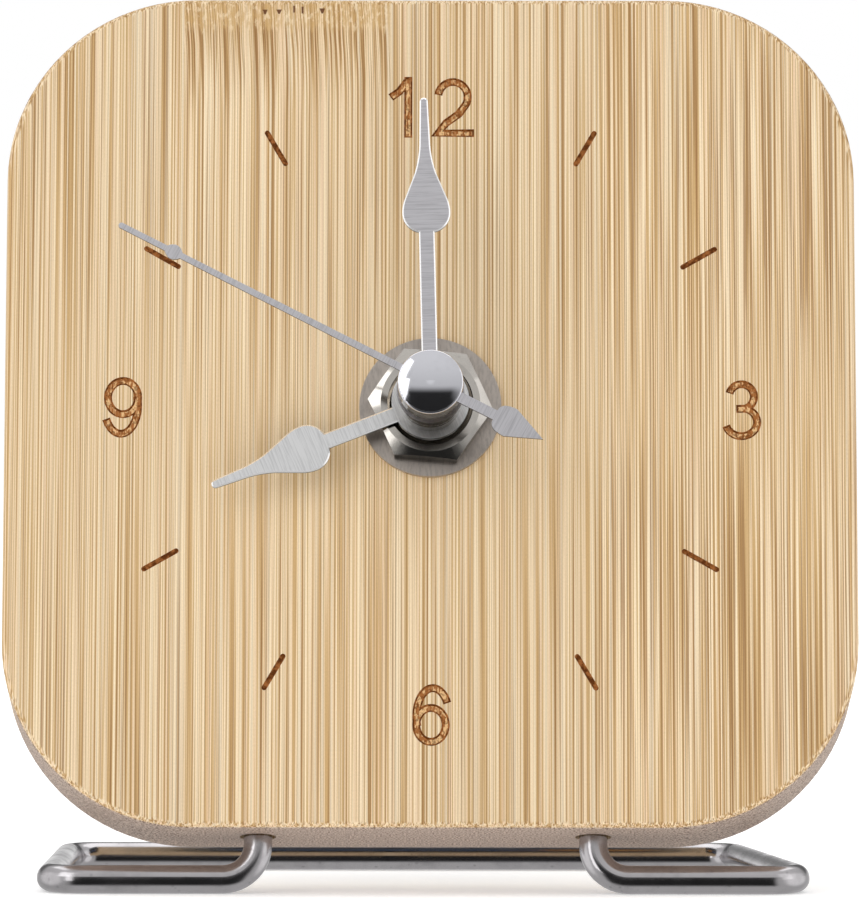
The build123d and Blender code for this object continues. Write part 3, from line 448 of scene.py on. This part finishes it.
def new_material(name):
    """A material with a lone Principled shader, and its tree, shader and object-space position."""
    material = bpy.data.materials.new(name)
    material.use_nodes = True
    tree = material.node_tree
    tree.nodes.clear()
    output = tree.nodes.new("ShaderNodeOutputMaterial")
    shader = tree.nodes.new("ShaderNodeBsdfPrincipled")
    tree.links.new(shader.outputs[0], output.inputs[0])
    position = tree.nodes.new("ShaderNodeTexCoord").outputs["Object"]
    return material, tree, shader, position


def object_normal(tree):
    return tree.nodes.new("ShaderNodeTexCoord").outputs["Normal"]


def feed(tree, shader, **inputs):
    """Shader inputs set or linked, with underscores for the spaces in their names."""
    for name, value in inputs.items():
        plug(tree, shader.inputs[name.replace("_", " ")], value)


def bamboo_material():
    """Bamboo with its fibres, knot and porous cut ends."""
    finish = settings().finish
    material, tree, shader, position = new_material("bamboo_satin")
    fibre = placed(tree, fibre_group(), Position=position)
    dark_line = times(tree, fibre["Streak"], ramp(tree, fibre["Gold"], 0.53, 0.64, 0.0, 0.65))
    tan_patch = times(tree, fibre["Patch"], ramp(tree, fibre["Blotch"], 0.50, 0.62, 0.15, 0.6))
    pale_patch = times(tree, fibre["Patch"], ramp(tree, fibre["Blotch"], 0.48, 0.38, 0.0, 0.45))
    layers = (
        (ramp(tree, fibre["Fine"], 0.54, 0.38), finish.bamboo_light),
        (ramp(tree, fibre["Tint"], 0.50, 0.66, 0.0, 0.45), finish.bamboo_pink),
        (ramp(tree, fibre["Tint"], 0.50, 0.34, 0.0, 0.45), finish.bamboo_grey),
        (ramp(tree, fibre["Gold"], 0.47, 0.60, 0.0, 0.85), finish.bamboo_gold),
        (ramp(tree, fibre["Gold"], 0.60, 0.74, 0.0, 0.8), finish.bamboo_brown),
        (ramp(tree, fibre["Fine"], 0.57, 0.72, 0.0, 0.7), finish.bamboo_brown),
        (dark_line, finish.bamboo_brown),
        (tan_patch, finish.bamboo_gold),
        (pale_patch, finish.bamboo_light),
        (times(tree, fibre["Eyes"], 0.95), finish.burn_edge),
    )
    face = rgba(finish.bamboo_mid)
    for share, colour in layers:
        face = mix(tree, share, face, rgba(colour))
    stipple = noise(tree, scaled(tree, position, (9500, 4200, 9500)), detail=1.0)
    strip_shade = ramp(tree, fibre["Strip"], 0.0, 1.0, 0.95, 1.02, smooth=False)
    shade = times(tree, strip_shade, ramp(tree, stipple, 0.3, 0.7, 0.95, 1.03, smooth=False))
    grey = add(tree, "ShaderNodeCombineColor", {0: shade, 1: shade, 2: shade}).outputs[0]
    toned = mix(tree, 1.0, face, grey, "MULTIPLY")
    way = split(tree, object_normal(tree))
    lengthwise = ramp(tree, size_of(tree, way[1]), 0.22, 0.42)
    cut_end = times(tree, lengthwise, ramp(tree, size_of(tree, way[2]), 0.58, 0.40))
    pores = noise(tree, scaled(tree, position, (4400, 4400, 4400)), 1.0, 2.0, 0.7)
    # The board's top and bottom ends get the end-grain colour, which carries painted shade.
    ends = mix(tree, ramp(tree, pores, 0.42, 0.60), rgba(finish.end_grain_and_shade), rgba(finish.end_dark))
    rough = ramp(tree, fibre["Fine"], 0.3, 0.7, 0.46, 0.60, smooth=False)
    relief = plus(tree, fibre["Fine"], times(tree, fibre["Gold"], 0.8))
    feed(
        tree, shader, Base_Color=mix(tree, cut_end, toned, ends), Roughness=rough, Specular_IOR_Level=0.3,
        Normal=bump(tree, relief, 0.3, 0.03),
    )
    return material


def burnt_floor_material():
    """Charred floor of the numerals, with fibres left pale."""
    finish = settings().finish
    material, tree, shader, position = new_material("burnt_floor")
    fibre = placed(tree, fibre_group(), Position=position)
    char = noise(tree, scaled(tree, position, (2600, 2600, 2600)), 1.0, 3.0, 0.7)
    dashes = noise(tree, scaled(tree, position, (3300, 1500, 3300)), detail=1.0)
    pale_fibre = ramp(tree, fibre["Gold"], 0.46, 0.34, 0.0, 0.5)
    flecks = calc(tree, "MAXIMUM", ramp(tree, dashes, 0.48, 0.58), pale_fibre)
    floor = mix(tree, flecks, rgba(finish.burn_floor), rgba(finish.burn_light))
    colour = mix(tree, ramp(tree, char, 0.50, 0.38, 0.0, 0.65), floor, rgba(finish.burn_edge))
    feed(
        tree, shader, Base_Color=colour, Roughness=0.8, Specular_IOR_Level=0.1,
        Normal=bump(tree, char, 0.5, 0.05),
    )
    return material


def burnt_shaded_edge_material():
    """Sides of the burnt marks, charred and darkened further with painted shade, and the whole of the ticks."""
    finish = settings().finish
    material, tree, shader, position = new_material("burnt_shaded_edge")
    soot = noise(tree, scaled(tree, position, (1800, 1800, 1800)), 1.0, 2.0, 0.6)
    # The sides are partly real char and partly painted shade along the marks' walls.
    colour = mix(tree, ramp(tree, soot, 0.40, 0.68), rgba(finish.burn_edge), rgba(finish.burn_floor))
    feed(tree, shader, Base_Color=colour, Roughness=0.85, Specular_IOR_Level=0.1)
    return material


def brushed_material(name, colour, way, fineness, rough, relief=0.12, painted_edge_light=False):
    """Brushed sheet metal whose lines run along way; for the hands, the bevels get a painted highlight and the
    cut edges painted shade.
    """
    material, tree, shader, position = new_material(name)
    brush = placed(tree, brushed_group(), Position=position, Fineness=fineness, Way=way)
    tint = mix(tree, ramp(tree, brush["Lines"], 0.30, 0.60), rgba(colour, 0.80), rgba(colour))
    gloss = ramp(tree, brush["Wear"], 0.3, 0.7, *rough, smooth=False)
    if painted_edge_light:
        # Painted highlight: the bevels, half facing out, are painted near white. Painted shade: the cut edges
        # and the back, facing away, are painted nearly black.
        facing = dot(tree, object_normal(tree), DIAL_OUT)
        bevel_highlight_mask = times(tree, ramp(tree, facing, 0.96, 0.86), ramp(tree, facing, 0.30, 0.45))
        tint = mix(tree, bevel_highlight_mask, tint, (0.98, 0.98, 0.98, 1.0))
        tint = mix(tree, ramp(tree, facing, 0.34, 0.22), tint, rgba(colour, 0.16))
        gloss = times(tree, gloss, minus(tree, 1.0, times(tree, bevel_highlight_mask, 0.4)))
    lines = bump(tree, brush["Lines"], relief, 0.01)
    feed(tree, shader, Base_Color=tint, Metallic=1.0, Roughness=gloss, Normal=lines)
    return material


def bright_material(name, colour, rough, pit_share, relief=0.06):
    """Bright metal with a film, pits and scratches from handling."""
    material, tree, shader, position = new_material(name)
    wear = placed(tree, metal_wear_group(), Position=position)
    filmed = mix(tree, ramp(tree, wear["Film"], 0.40, 0.75, 0.0, 0.6), rgba(colour), rgba(colour, 0.72))
    tint = mix(tree, times(tree, wear["Pits"], pit_share), filmed, rgba(colour, 0.35))
    gloss = ramp(tree, wear["Film"], 0.3, 0.75, *rough, smooth=False)
    scratches = bump(tree, wear["Scratch"], relief, 0.01)
    feed(tree, shader, Base_Color=tint, Metallic=1.0, Roughness=gloss, Normal=scratches)
    return material


def moulded_material(name, colour, grain, rough, relief=0.25):
    """Moulded plastic or rubber with a fine skin."""
    material, tree, shader, position = new_material(name)
    skin = placed(tree, moulded_group(), Position=position, Grain=grain)
    tint = mix(tree, ramp(tree, skin["Skin"], 0.35, 0.7), rgba(colour), rgba(lighter(colour, 1.25, 0.004)))
    gloss = ramp(tree, skin["Gloss"], 0.3, 0.7, *rough, smooth=False)
    feed(tree, shader, Base_Color=tint, Roughness=gloss, Normal=bump(tree, skin["Skin"], relief, 0.02))
    return material


def cell_material():
    """Sleeve of the cell: a body colour, a metallic band at the positive end and bare steel ends."""
    finish = settings().finish
    material, tree, shader, position = new_material("cell_sleeve")
    low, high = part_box("battery_cell")
    share = calc(tree, "DIVIDE", minus(tree, split(tree, position)[0], low.x), high.x - low.x)
    band = ramp(tree, share, 0.735, 0.74)
    ends = calc(tree, "MAXIMUM", ramp(tree, share, 0.018, 0.014), ramp(tree, share, 0.968, 0.972))
    wear = placed(tree, metal_wear_group(), Position=position)
    sleeve = mix(tree, band, rgba(finish.cell_body), rgba(finish.cell_band))
    dusty = mix(tree, ramp(tree, wear["Film"], 0.45, 0.8, 0.0, 0.07), sleeve, rgba(finish.cell_dust))
    colour = mix(tree, ends, dusty, rgba(finish.washer))
    gloss = ramp(tree, wear["Film"], 0.3, 0.75, 0.24, 0.40, smooth=False)
    feed(tree, shader, Base_Color=colour, Metallic=calc(tree, "MAXIMUM", band, ends), Roughness=gloss)
    return material


def winding_material():
    """Enamelled wire laid side by side round the coil, with painted shade in the grooves between the turns."""
    copper = settings().finish.copper
    material, tree, shader, position = new_material("coil_wire")
    turns = add(
        tree, "ShaderNodeTexWave", {"Vector": position, "Scale": 2600.0, "Distortion": 0.4, "Detail": 1.0},
        wave_type="BANDS", bands_direction="X",
    ).outputs[1]
    # Painted shade: the bands between the turns are darkened to 0.4 of the copper.
    tint = mix(tree, ramp(tree, turns, 0.1, 0.6), rgba(copper, 0.4), rgba(copper))
    feed(tree, shader, Base_Color=tint, Metallic=1.0, Roughness=0.32, Normal=bump(tree, turns, 0.6, 0.04))
    return material


def circuit_material():
    """Lacquered board with tinned tracks and pads."""
    lacquer = settings().finish.circuit
    material, tree, shader, position = new_material("circuit_lacquer")
    layout = {"Scale": 0.42, "Mortar Size": 0.07, "Mortar Smooth": 0.05}
    tracks = add(tree, "ShaderNodeTexBrick", {"Vector": scaled(tree, position, TO_MM), **layout}).outputs[1]
    pale = lighter(lacquer, 1.8)
    skin = placed(tree, moulded_group(), Position=position, Grain=2600.0)
    base = mix(tree, ramp(tree, skin["Skin"], 0.35, 0.7), rgba(lacquer), rgba(pale))
    colour = mix(tree, tracks, base, rgba(pale, 1.35))
    feed(tree, shader, Base_Color=colour, Roughness=0.3, Normal=bump(tree, tracks, 0.4, 0.03))
    return material


def floor_material():
    """Pale paper that is lit from below."""
    stage = settings().stage
    material, tree, shader, position = new_material("floor_paper")
    tooth = noise(tree, position, 900.0)
    colour = mix(tree, tooth, rgba(stage.floor_colour), rgba(lighter(stage.floor_colour, 1.02)))
    feed(
        tree, shader, Base_Color=colour, Roughness=0.9, Emission_Color=WHITE,
        Emission_Strength=stage.floor_glow,
    )
    return material


# Meshes


def paint(mesh, material):
    """Gives a mesh one material alone."""
    mesh.materials.clear()
    mesh.materials.append(material)


def dress(material, *nodes):
    """Gives CAD nodes a material."""
    for node in nodes:
        paint(frame["nodes"][node].data, material)


def dial_piece(name, mesh):
    """A piece in the dial's frame that rides on the clock."""
    piece = bpy.data.objects.new(name, mesh)
    bpy.context.scene.collection.objects.link(piece)
    piece.matrix_world = DIAL
    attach(piece, "clock")
    return piece


def smooth(mesh, degrees):
    """Smooth faces between edges sharper than the angle."""
    mesh.shade_smooth()
    mesh.set_sharp_from_angle(angle=math.radians(degrees))


def from_shape(shape, name):
    """A shape under construction as a mesh."""
    mesh = bpy.data.meshes.new(name)
    shape.to_mesh(mesh)
    shape.free()
    return mesh


def dial_copy(node, name, material):
    """A copy of a CAD node's mesh in one material, welded and moved to the dial's frame."""
    mesh = frame["nodes"][node].data.copy()
    mesh.name = name
    mesh.transform(DIAL.inverted())
    shape = bmesh.new()
    shape.from_mesh(mesh)
    bmesh.ops.remove_doubles(shape, verts=shape.verts, dist=1e-7)
    shape.to_mesh(mesh)
    shape.free()
    shading = ("custom_normal", "sharp_face", "sharp_edge")
    for attribute in [a.name for a in mesh.attributes if a.name in shading]:
        mesh.attributes.remove(mesh.attributes[attribute])
    paint(mesh, material)
    return mesh


def cut(context, name, mesh, cutter_mesh, operation="DIFFERENCE"):
    """The mesh with the cutter taken out of it, or only what lies inside the cutter."""
    blank = bpy.data.objects.new(name + "_blank", mesh)
    cutter = bpy.data.objects.new(name + "_cutter", cutter_mesh)
    for helper in (blank, cutter):
        context.scene.collection.objects.link(helper)
    groove = blank.modifiers.new("cut", "BOOLEAN")
    groove.operation, groove.object = operation, cutter
    groove.solver, groove.material_mode, groove.use_self = "EXACT", "TRANSFER", True
    context.view_layer.update()
    result = bpy.data.meshes.new_from_object(blank.evaluated_get(context.evaluated_depsgraph_get()))
    result.name = name
    if len(result.polygons) <= len(mesh.polygons):
        raise RuntimeError(name + ": the cutter did not reach it")
    for helper in (blank, cutter):
        bpy.data.objects.remove(helper)
    return result


def path_sides(path, closed):
    """At each point of a path, the way across it, longer at a bend, and the way along it."""
    least_cosine = 0.5
    count = len(path)
    across, along = [], []
    for i, point in enumerate(path):
        before = path[i - 1] if i or closed else None
        after = path[(i + 1) % count] if i + 1 < count or closed else None
        pairs = ((before, point), (point, after))
        ways = [(b - a).normalized() for a, b in pairs if a is not None and b is not None]
        way = sum(ways, Vector((0, 0))).normalized()
        across.append(Vector((-way.y, way.x)) * (1 / max(least_cosine, way.dot(ways[0]))))
        along.append(way)
    return across, along


def round_end(centre, way, reach):
    """A half circle round a path's end, from its left side to its right."""
    turn = math.atan2(way.y, way.x)
    angles = (turn + math.radians(90 - 180 * step / TICK_END_STEPS) for step in range(TICK_END_STEPS + 1))
    return [centre + reach * Vector((math.cos(a), math.sin(a))) for a in angles]


def trough(shape, path, width, dial, closed=False, rounded=False):
    """A trough with sloping walls along a path on the dial, added to the cutter."""
    lip = 0.02 * MM
    count = len(path)
    across, along = path_sides(path, closed)
    rings = []
    for z, inset in ((dial.burn_depth, 0), (-lip, 0), (-dial.burn_depth, dial.burn_wall)):
        reach = width / 2 - inset
        left = [p + n * reach for p, n in zip(path, across)]
        right = [p - n * reach for p, n in zip(path, across)]
        if closed:
            outlines = (left, right)
        elif rounded:
            head = round_end(path[-1], along[-1], reach)
            foot = round_end(path[0], -along[0], reach)
            outlines = (left[1:-1] + head + right[1:-1][::-1] + foot,)
        else:
            for line in (left, right):
                line[0] = line[0] + along[0] * inset
                line[-1] = line[-1] - along[-1] * inset
            outlines = (left + right[::-1],)
        rings.append([[shape.verts.new((*p, z)) for p in outline] for outline in outlines])
    for upper, lower in zip(rings, rings[1:]):
        for high, low in zip(upper, lower):
            for i in range(len(high)):
                j = (i + 1) % len(high)
                shape.faces.new((low[i], low[j], high[j], high[i]))
    for ring in (rings[0], rings[-1]):
        if closed:
            for i in range(count):
                j = (i + 1) % count
                shape.faces.new((ring[0][i], ring[0][j], ring[1][j], ring[1][i]))
        elif rounded:
            shape.faces.new(ring[0])
        else:
            for i in range(count - 1):
                shape.faces.new((ring[0][i], ring[0][i + 1], ring[0][-i - 2], ring[0][-i - 1]))


def tick_path(hour, dial):
    clock = math.radians(90 - 30 * hour)
    way = Vector((math.cos(clock), math.sin(clock)))
    return [way * (dial.tick_inner + dial.tick_width / 2), way * (dial.tick_outer - dial.tick_width / 2)]


def numeral_paths(digit, dial):
    """The centre lines of a numeral's strokes, and whether each closes on itself."""
    left, bottom, width, height = (v * MM for v in NUMERALS[digit])
    half = dial.stroke_width / 2
    for stroke in STROKES[digit]:
        points, closed = [], False
        for kind, *data in stroke:
            if kind == "line":
                points += data
                continue
            (x, y), (rx, ry), (start, end) = data
            closed = abs(end - start) == 360
            steps = max(ARC_STEPS_LEAST, round(abs(end - start) / ARC_STEP))
            for step in range(steps if closed else steps + 1):
                angle = math.radians(start + (end - start) * step / steps)
                points.append((x + rx * math.cos(angle), y + ry * math.sin(angle)))
        path = [
            Vector((left + half + x * (width - 2 * half), bottom + half + y * (height - 2 * half)))
            for x, y in points
        ]
        yield path, closed


def burn_cutter(floor, edge):
    """The solid that burns the marks into the board: the numerals' lower faces are floor, all others edge."""
    dial = settings().dial
    shape = bmesh.new()
    for digit in NUMERALS:
        for path, closed in numeral_paths(digit, dial):
            trough(shape, path, dial.stroke_width, dial, closed=closed)
    numeral_faces = len(shape.faces)
    for hour in TICK_HOURS:
        trough(shape, tick_path(hour, dial), dial.tick_width, dial, rounded=True)
    bmesh.ops.recalc_face_normals(shape, faces=shape.faces)
    for place, face in enumerate(shape.faces):
        face.material_index = 0 if face.normal.z < -0.9 and place < numeral_faces else 1
    mesh = from_shape(shape, "burn_cutter")
    mesh.materials.append(floor)
    mesh.materials.append(edge)
    return mesh


def thread_cutter(radius, start, end):
    """A helical groove, three-cornered in section, round the dial's axis."""
    dial = settings().dial
    pitch, depth = dial.thread_pitch, dial.thread_depth
    sides, outer, flank = 48, radius + 0.1 * MM, 0.44 * pitch
    shape = bmesh.new()
    rings = []
    for step in range(round((end - start) / pitch * sides) + 1):
        angle = 2 * math.pi * step / sides
        z = start + pitch * step / sides
        section = ((outer, z + flank), (outer, z - flank), (radius - depth, z))
        rings.append([shape.verts.new((r * math.cos(angle), r * math.sin(angle), h)) for r, h in section])
    for one, two in zip(rings, rings[1:]):
        for i in range(3):
            shape.faces.new((one[i], one[(i + 1) % 3], two[(i + 1) % 3], two[i]))
    shape.faces.new(rings[0])
    shape.faces.new(rings[-1])
    bmesh.ops.recalc_face_normals(shape, faces=shape.faces)
    return from_shape(shape, "thread_cutter")


def nut_turning(mesh):
    """A turned solid that rounds a nut's front corners and eases its bore."""
    spill, ease, shoulder_in, slope, steps = 0.3 * MM, 0.45 * MM, 0.5 * MM, math.radians(26), 72
    rim = [math.hypot(v.co.x, v.co.y) for v in mesh.vertices]
    heights = [v.co.z for v in mesh.vertices]
    bore, corner, back, front = min(rim), max(rim), min(heights), max(heights)
    flat = corner * math.cos(math.radians(30))
    outer, shoulder = corner + spill, flat - shoulder_in
    profile = (
        (bore - spill, back - spill),
        (outer, back - spill),
        (outer, front - (outer - shoulder) * math.tan(slope)),
        (shoulder, front),
        (bore + ease, front),
        (bore - spill, front - ease - spill),
    )
    shape = bmesh.new()
    turns = [math.radians(360 * step / steps) for step in range(steps)]
    rings = [[shape.verts.new((r * math.cos(a), r * math.sin(a), z)) for r, z in profile] for a in turns]
    for i, one in enumerate(rings):
        two = rings[(i + 1) % len(rings)]
        for j in range(len(profile)):
            k = (j + 1) % len(profile)
            shape.faces.new((one[j], one[k], two[k], two[j]))
    bmesh.ops.recalc_face_normals(shape, faces=shape.faces)
    return from_shape(shape, "nut_turning")


def hand_across(node):
    """The direction across a hand, from its tip's place round the dial's axis."""
    points = (DIAL.inverted() @ v.co for v in frame["nodes"][node].data.vertices)
    tip = max(points, key=lambda p: p.xy.length)
    return DIAL.to_3x3() @ Vector((-tip.y, tip.x, 0)).normalized()


# Pieces


class CLOCK_OT_board(bpy.types.Operator):
    """Bamboo board with its burnt numerals and ticks"""

    bl_idname = "clock.board"
    bl_label = "Bamboo Board"

    def execute(self, context):
        mesh = dial_copy("clock_board", "bamboo_board", bamboo_material())
        # The marks' sides carry painted shade as well as char.
        marks = burn_cutter(burnt_floor_material(), burnt_shaded_edge_material())
        burnt = cut(context, "bamboo_board", mesh, marks)
        if len(burnt.materials) < 3:
            raise RuntimeError("the burnt marks did not reach the board")
        smooth(burnt, 32)
        board = dial_piece("bamboo_board", burnt)
        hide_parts("clock_board")
        return {"FINISHED"}


class CLOCK_OT_stand(bpy.types.Operator):
    """Bent steel wire stand"""

    bl_idname = "clock.stand"
    bl_label = "Wire Stand"

    def execute(self, context):
        wire = bright_material("stand_wire", settings().finish.steel, (0.15, 0.27), pit_share=0.22, relief=0.12)
        dress(wire, "wire_stand")
        return {"FINISHED"}


class CLOCK_OT_fittings(bpy.types.Operator):
    """Washer, turned nut and threaded bush on the face, and the gasket behind it"""

    bl_idname = "clock.fittings"
    bl_label = "Dial Fittings"

    def execute(self, context):
        finish = settings().finish
        satin = brushed_material("washer_satin", finish.washer, (0, 0, 1), 3.6, (0.30, 0.44), relief=0.5)
        dress(satin, "dial_washer")
        plated = bright_material("nickel_plate", finish.nickel, (0.08, 0.20), pit_share=0.1)
        square = dial_copy("hex_nut", "nut_square", plated)
        turning = nut_turning(square)
        paint(turning, plated)
        nut = dial_piece("nut_turned", cut(context, "nut_turned", square, turning, "INTERSECT"))
        smooth(nut.data, 18)
        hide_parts("hex_nut")
        plain = dial_copy("threaded_bush", "bush_plain", plated)
        front = max(v.co.z for v in plain.vertices)
        radius = max(math.hypot(v.co.x, v.co.y) for v in plain.vertices if v.co.z > 0)
        groove = thread_cutter(radius, start=-1.0 * MM, end=front + 0.5 * MM)
        paint(groove, plated)
        bush = dial_piece("bush_thread", cut(context, "bush_thread", plain, groove))
        smooth(bush.data, 40)
        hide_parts("threaded_bush")
        dress(moulded_material("gasket_rubber", finish.rubber, 1800.0, (0.7, 0.9)), "dial_gasket")
        return {"FINISHED"}


class CLOCK_OT_hands(bpy.types.Operator):
    """Hour, minute and second hands with their collets and cap"""

    bl_idname = "clock.hands"
    bl_label = "Hands"

    def execute(self, context):
        finish = settings().finish
        colours = {
            "hour_hand": finish.aluminium_pale,
            "minute_hand": finish.aluminium,
            "second_hand": finish.aluminium,
        }
        for hand, colour in colours.items():
            # Each hand's sheet gets a painted highlight on its bevels and painted shade on its cut edges.
            sheet = brushed_material(
                hand + "_sheet", colour, hand_across(hand), 6.0, (0.28, 0.40), relief=0.2, painted_edge_light=True
            )
            dress(sheet, hand)
        turned = bright_material("turned_collet", finish.nickel, (0.10, 0.20), pit_share=0.06)
        dress(turned, "hour_hand_collet", "minute_hand_collet", "second_hand_collet")
        polished = bright_material("cap_polish", finish.cap, (0.05, 0.10), pit_share=0.0, relief=0.03)
        dress(polished, "second_hand_cap")
        return {"FINISHED"}


class CLOCK_OT_movement(bpy.types.Operator):
    """Movement case, cover, knob, cell and contacts, as seen from behind"""

    bl_idname = "clock.movement"
    bl_label = "Movement"

    def execute(self, context):
        finish = settings().finish
        case = moulded_material("case_plastic", finish.case_black, 3200.0, (0.42, 0.60))
        dress(case, "movement_case", "rear_cover")
        dress(moulded_material("knob_plastic", finish.case_black, 2400.0, (0.32, 0.48)), "setting_knob")
        dress(cell_material(), "battery_cell")
        spring = bright_material("contact_spring", finish.nickel, (0.18, 0.32), pit_share=0.3)
        dress(spring, "positive_contact", "negative_contact")
        return {"FINISHED"}


class CLOCK_OT_train(bpy.types.Operator):
    """Wheels, plate, step motor and circuit inside the movement"""

    bl_idname = "clock.train"
    bl_label = "Gear Train"

    def execute(self, context):
        finish = settings().finish
        wheels = moulded_material("wheel_plastic", finish.gear_white, 2800.0, (0.36, 0.50), relief=0.12)
        dress(
            wheels, "hour_wheel", "cannon_pinion", "minute_wheel", "centre_wheel", "third_wheel",
            "second_wheel", "intermediate_wheel", "rotor_pinion", "setting_pinion", "coil_bobbin",
        )
        dress(moulded_material("plate_plastic", finish.plate_grey, 2400.0, (0.42, 0.56)), "train_plate")
        dress(bright_material("magnet_ferrite", finish.ferrite, (0.40, 0.55), pit_share=0.6), "rotor_magnet")
        iron = brushed_material("lamination_iron", finish.iron, (1, 0, 0), 4.0, (0.34, 0.48))
        dress(iron, "stator", "coil_core")
        dress(winding_material(), "coil_winding")
        dress(circuit_material(), "circuit_board")
        dress(bright_material("crystal_can", finish.crystal, (0.16, 0.28), pit_share=0.3), "quartz_crystal")
        dress(moulded_material("chip_epoxy", finish.epoxy, 1600.0, (0.18, 0.30)), "control_chip")
        return {"FINISHED"}


# Stage


def area_light(name, place, aim, size, power):
    lamp = bpy.data.lights.new(name, "AREA")
    lamp.shape, lamp.size, lamp.size_y = "RECTANGLE", *size
    lamp.energy = power
    light = bpy.data.objects.new(name, lamp)
    bpy.context.scene.collection.objects.link(light)
    light.location = place
    light.rotation_euler = (Vector(aim) - Vector(place)).to_track_quat("-Z", "Y").to_euler()


def studio_world(level):
    """White round the clock, with the dark side of the room behind the camera and a dark band at the back."""
    world = bpy.data.worlds.new("studio")
    bpy.context.scene.world = world
    world.use_nodes = True
    tree = world.node_tree
    tree.nodes.clear()
    x, y, z = split(tree, tree.nodes.new("ShaderNodeTexCoord").outputs["Generated"])
    aside = size_of(tree, x)
    low = times(tree, ramp(tree, z, 0.38, 0.22), ramp(tree, z, -0.90, -0.58))
    front = times(tree, ramp(tree, y, -0.35, -0.75), ramp(tree, aside, 0.62, 0.36))
    dark = times(tree, front, times(tree, low, 0.96))
    band = times(tree, ramp(tree, z, 0.6, 0.4), ramp(tree, z, 0.14, 0.24))
    back = times(tree, ramp(tree, y, 0.55, 0.85), band)
    room = minus(tree, minus(tree, 1.0, dark), times(tree, back, 0.85))
    overhead = ramp(tree, z, 0.2, 0.9, 0.0, 0.35)
    sides = ramp(tree, aside, 0.72, 0.92, 0.0, 0.9)
    backdrop = times(tree, ramp(tree, y, 0.88, 0.96), ramp(tree, size_of(tree, z), 0.13, 0.08, 0.0, 0.8))
    white = plus(tree, plus(tree, overhead, sides), backdrop)
    light = times(tree, plus(tree, room, white), level)
    seen = tree.nodes.new("ShaderNodeLightPath").outputs["Is Camera Ray"]
    strength = plus(tree, times(tree, light, minus(tree, 1.0, seen)), seen)
    background = add(tree, "ShaderNodeBackground", {"Color": WHITE, "Strength": strength})
    tree.links.new(background.outputs[0], tree.nodes.new("ShaderNodeOutputWorld").inputs[0])


class CLOCK_OT_stage(bpy.types.Operator):
    """Pale floor, soft studio light and the camera"""

    bl_idname = "clock.stage"
    bl_label = "Stage"

    def execute(self, context):
        stage = settings().stage
        scene = context.scene
        half = stage.floor_size / 2
        mesh = bpy.data.meshes.new("floor")
        corners = [(-half, -half, 0), (half, -half, 0), (half, half, 0), (-half, half, 0)]
        mesh.from_pydata(corners, [], [(0, 1, 2, 3)])
        mesh.materials.append(floor_material())
        floor = bpy.data.objects.new("floor", mesh)
        scene.collection.objects.link(floor)
        floor.visible_glossy = False
        studio_world(stage.sky_level)
        dial = (0, 0, 0.05)
        area_light("key_left", (-0.75, -0.65, 0.75), dial, (0.7, 0.7), stage.key_power)
        area_light("side_left", (-0.62, -0.90, 0.22), dial, (0.34, 0.80), stage.side_power)
        area_light("floor_top", (0, 0.5, 1.3), (0, 0.2, 0), (1.6, 1.2), stage.top_power)
        area_light("fill_right", (0.85, -0.45, 0.45), dial, (0.6, 0.8), stage.fill_power)
        lens = bpy.data.cameras.new("camera")
        lens.lens, lens.sensor_width, lens.sensor_fit = stage.lens, 36.0, "AUTO"
        lens.clip_start, lens.clip_end = 0.01, 50.0
        camera = bpy.data.objects.new("camera", lens)
        scene.collection.objects.link(camera)
        camera.location = stage.camera_at
        aim = (Vector(stage.camera_aim) - Vector(stage.camera_at)).to_track_quat("-Z", "Y").to_matrix()
        camera.rotation_euler = (aim @ Matrix.Rotation(stage.camera_roll, 3, "Z")).to_euler()
        scene.camera = camera
        scene.view_settings.view_transform = "Standard"
        scene.view_settings.look = "None"
        return {"FINISHED"}


class CLOCK_PT_panel(bpy.types.Panel):
    """Lists the clock's pieces and settings"""

    bl_idname = "CLOCK_PT_panel"
    bl_label = "Desk Clock"
    bl_space_type = "VIEW_3D"
    bl_region_type = "UI"
    bl_category = "Clock"

    def draw(self, context):
        clock = context.scene.desk_clock
        for operator in OPERATORS:
            self.layout.operator(operator.bl_idname)
        for group in (clock.dial, clock.finish, clock.stage):
            box = self.layout.box()
            for name in group.__annotations__:
                box.prop(group, name)


OPERATORS = (
    CLOCK_OT_board,
    CLOCK_OT_stand,
    CLOCK_OT_fittings,
    CLOCK_OT_hands,
    CLOCK_OT_movement,
    CLOCK_OT_train,
    CLOCK_OT_stage,
)
CLASSES = (
    ClockDialSettings,
    ClockFinishSettings,
    ClockStageSettings,
    DeskClockSettings,
    *OPERATORS,
    CLOCK_PT_panel,
)


def register():
    for kind in CLASSES:
        bpy.utils.register_class(kind)
    bpy.types.Scene.desk_clock = PointerProperty(type=DeskClockSettings)


def unregister():
    del bpy.types.Scene.desk_clock
    for kind in reversed(CLASSES):
        bpy.utils.unregister_class(kind)


def main():
    register()
    bpy.ops.clock.board()
    bpy.ops.clock.stand()
    bpy.ops.clock.fittings()
    bpy.ops.clock.hands()
    bpy.ops.clock.movement()
    bpy.ops.clock.train()
    bpy.ops.clock.stage()


if __name__ == "__main__":
    main()
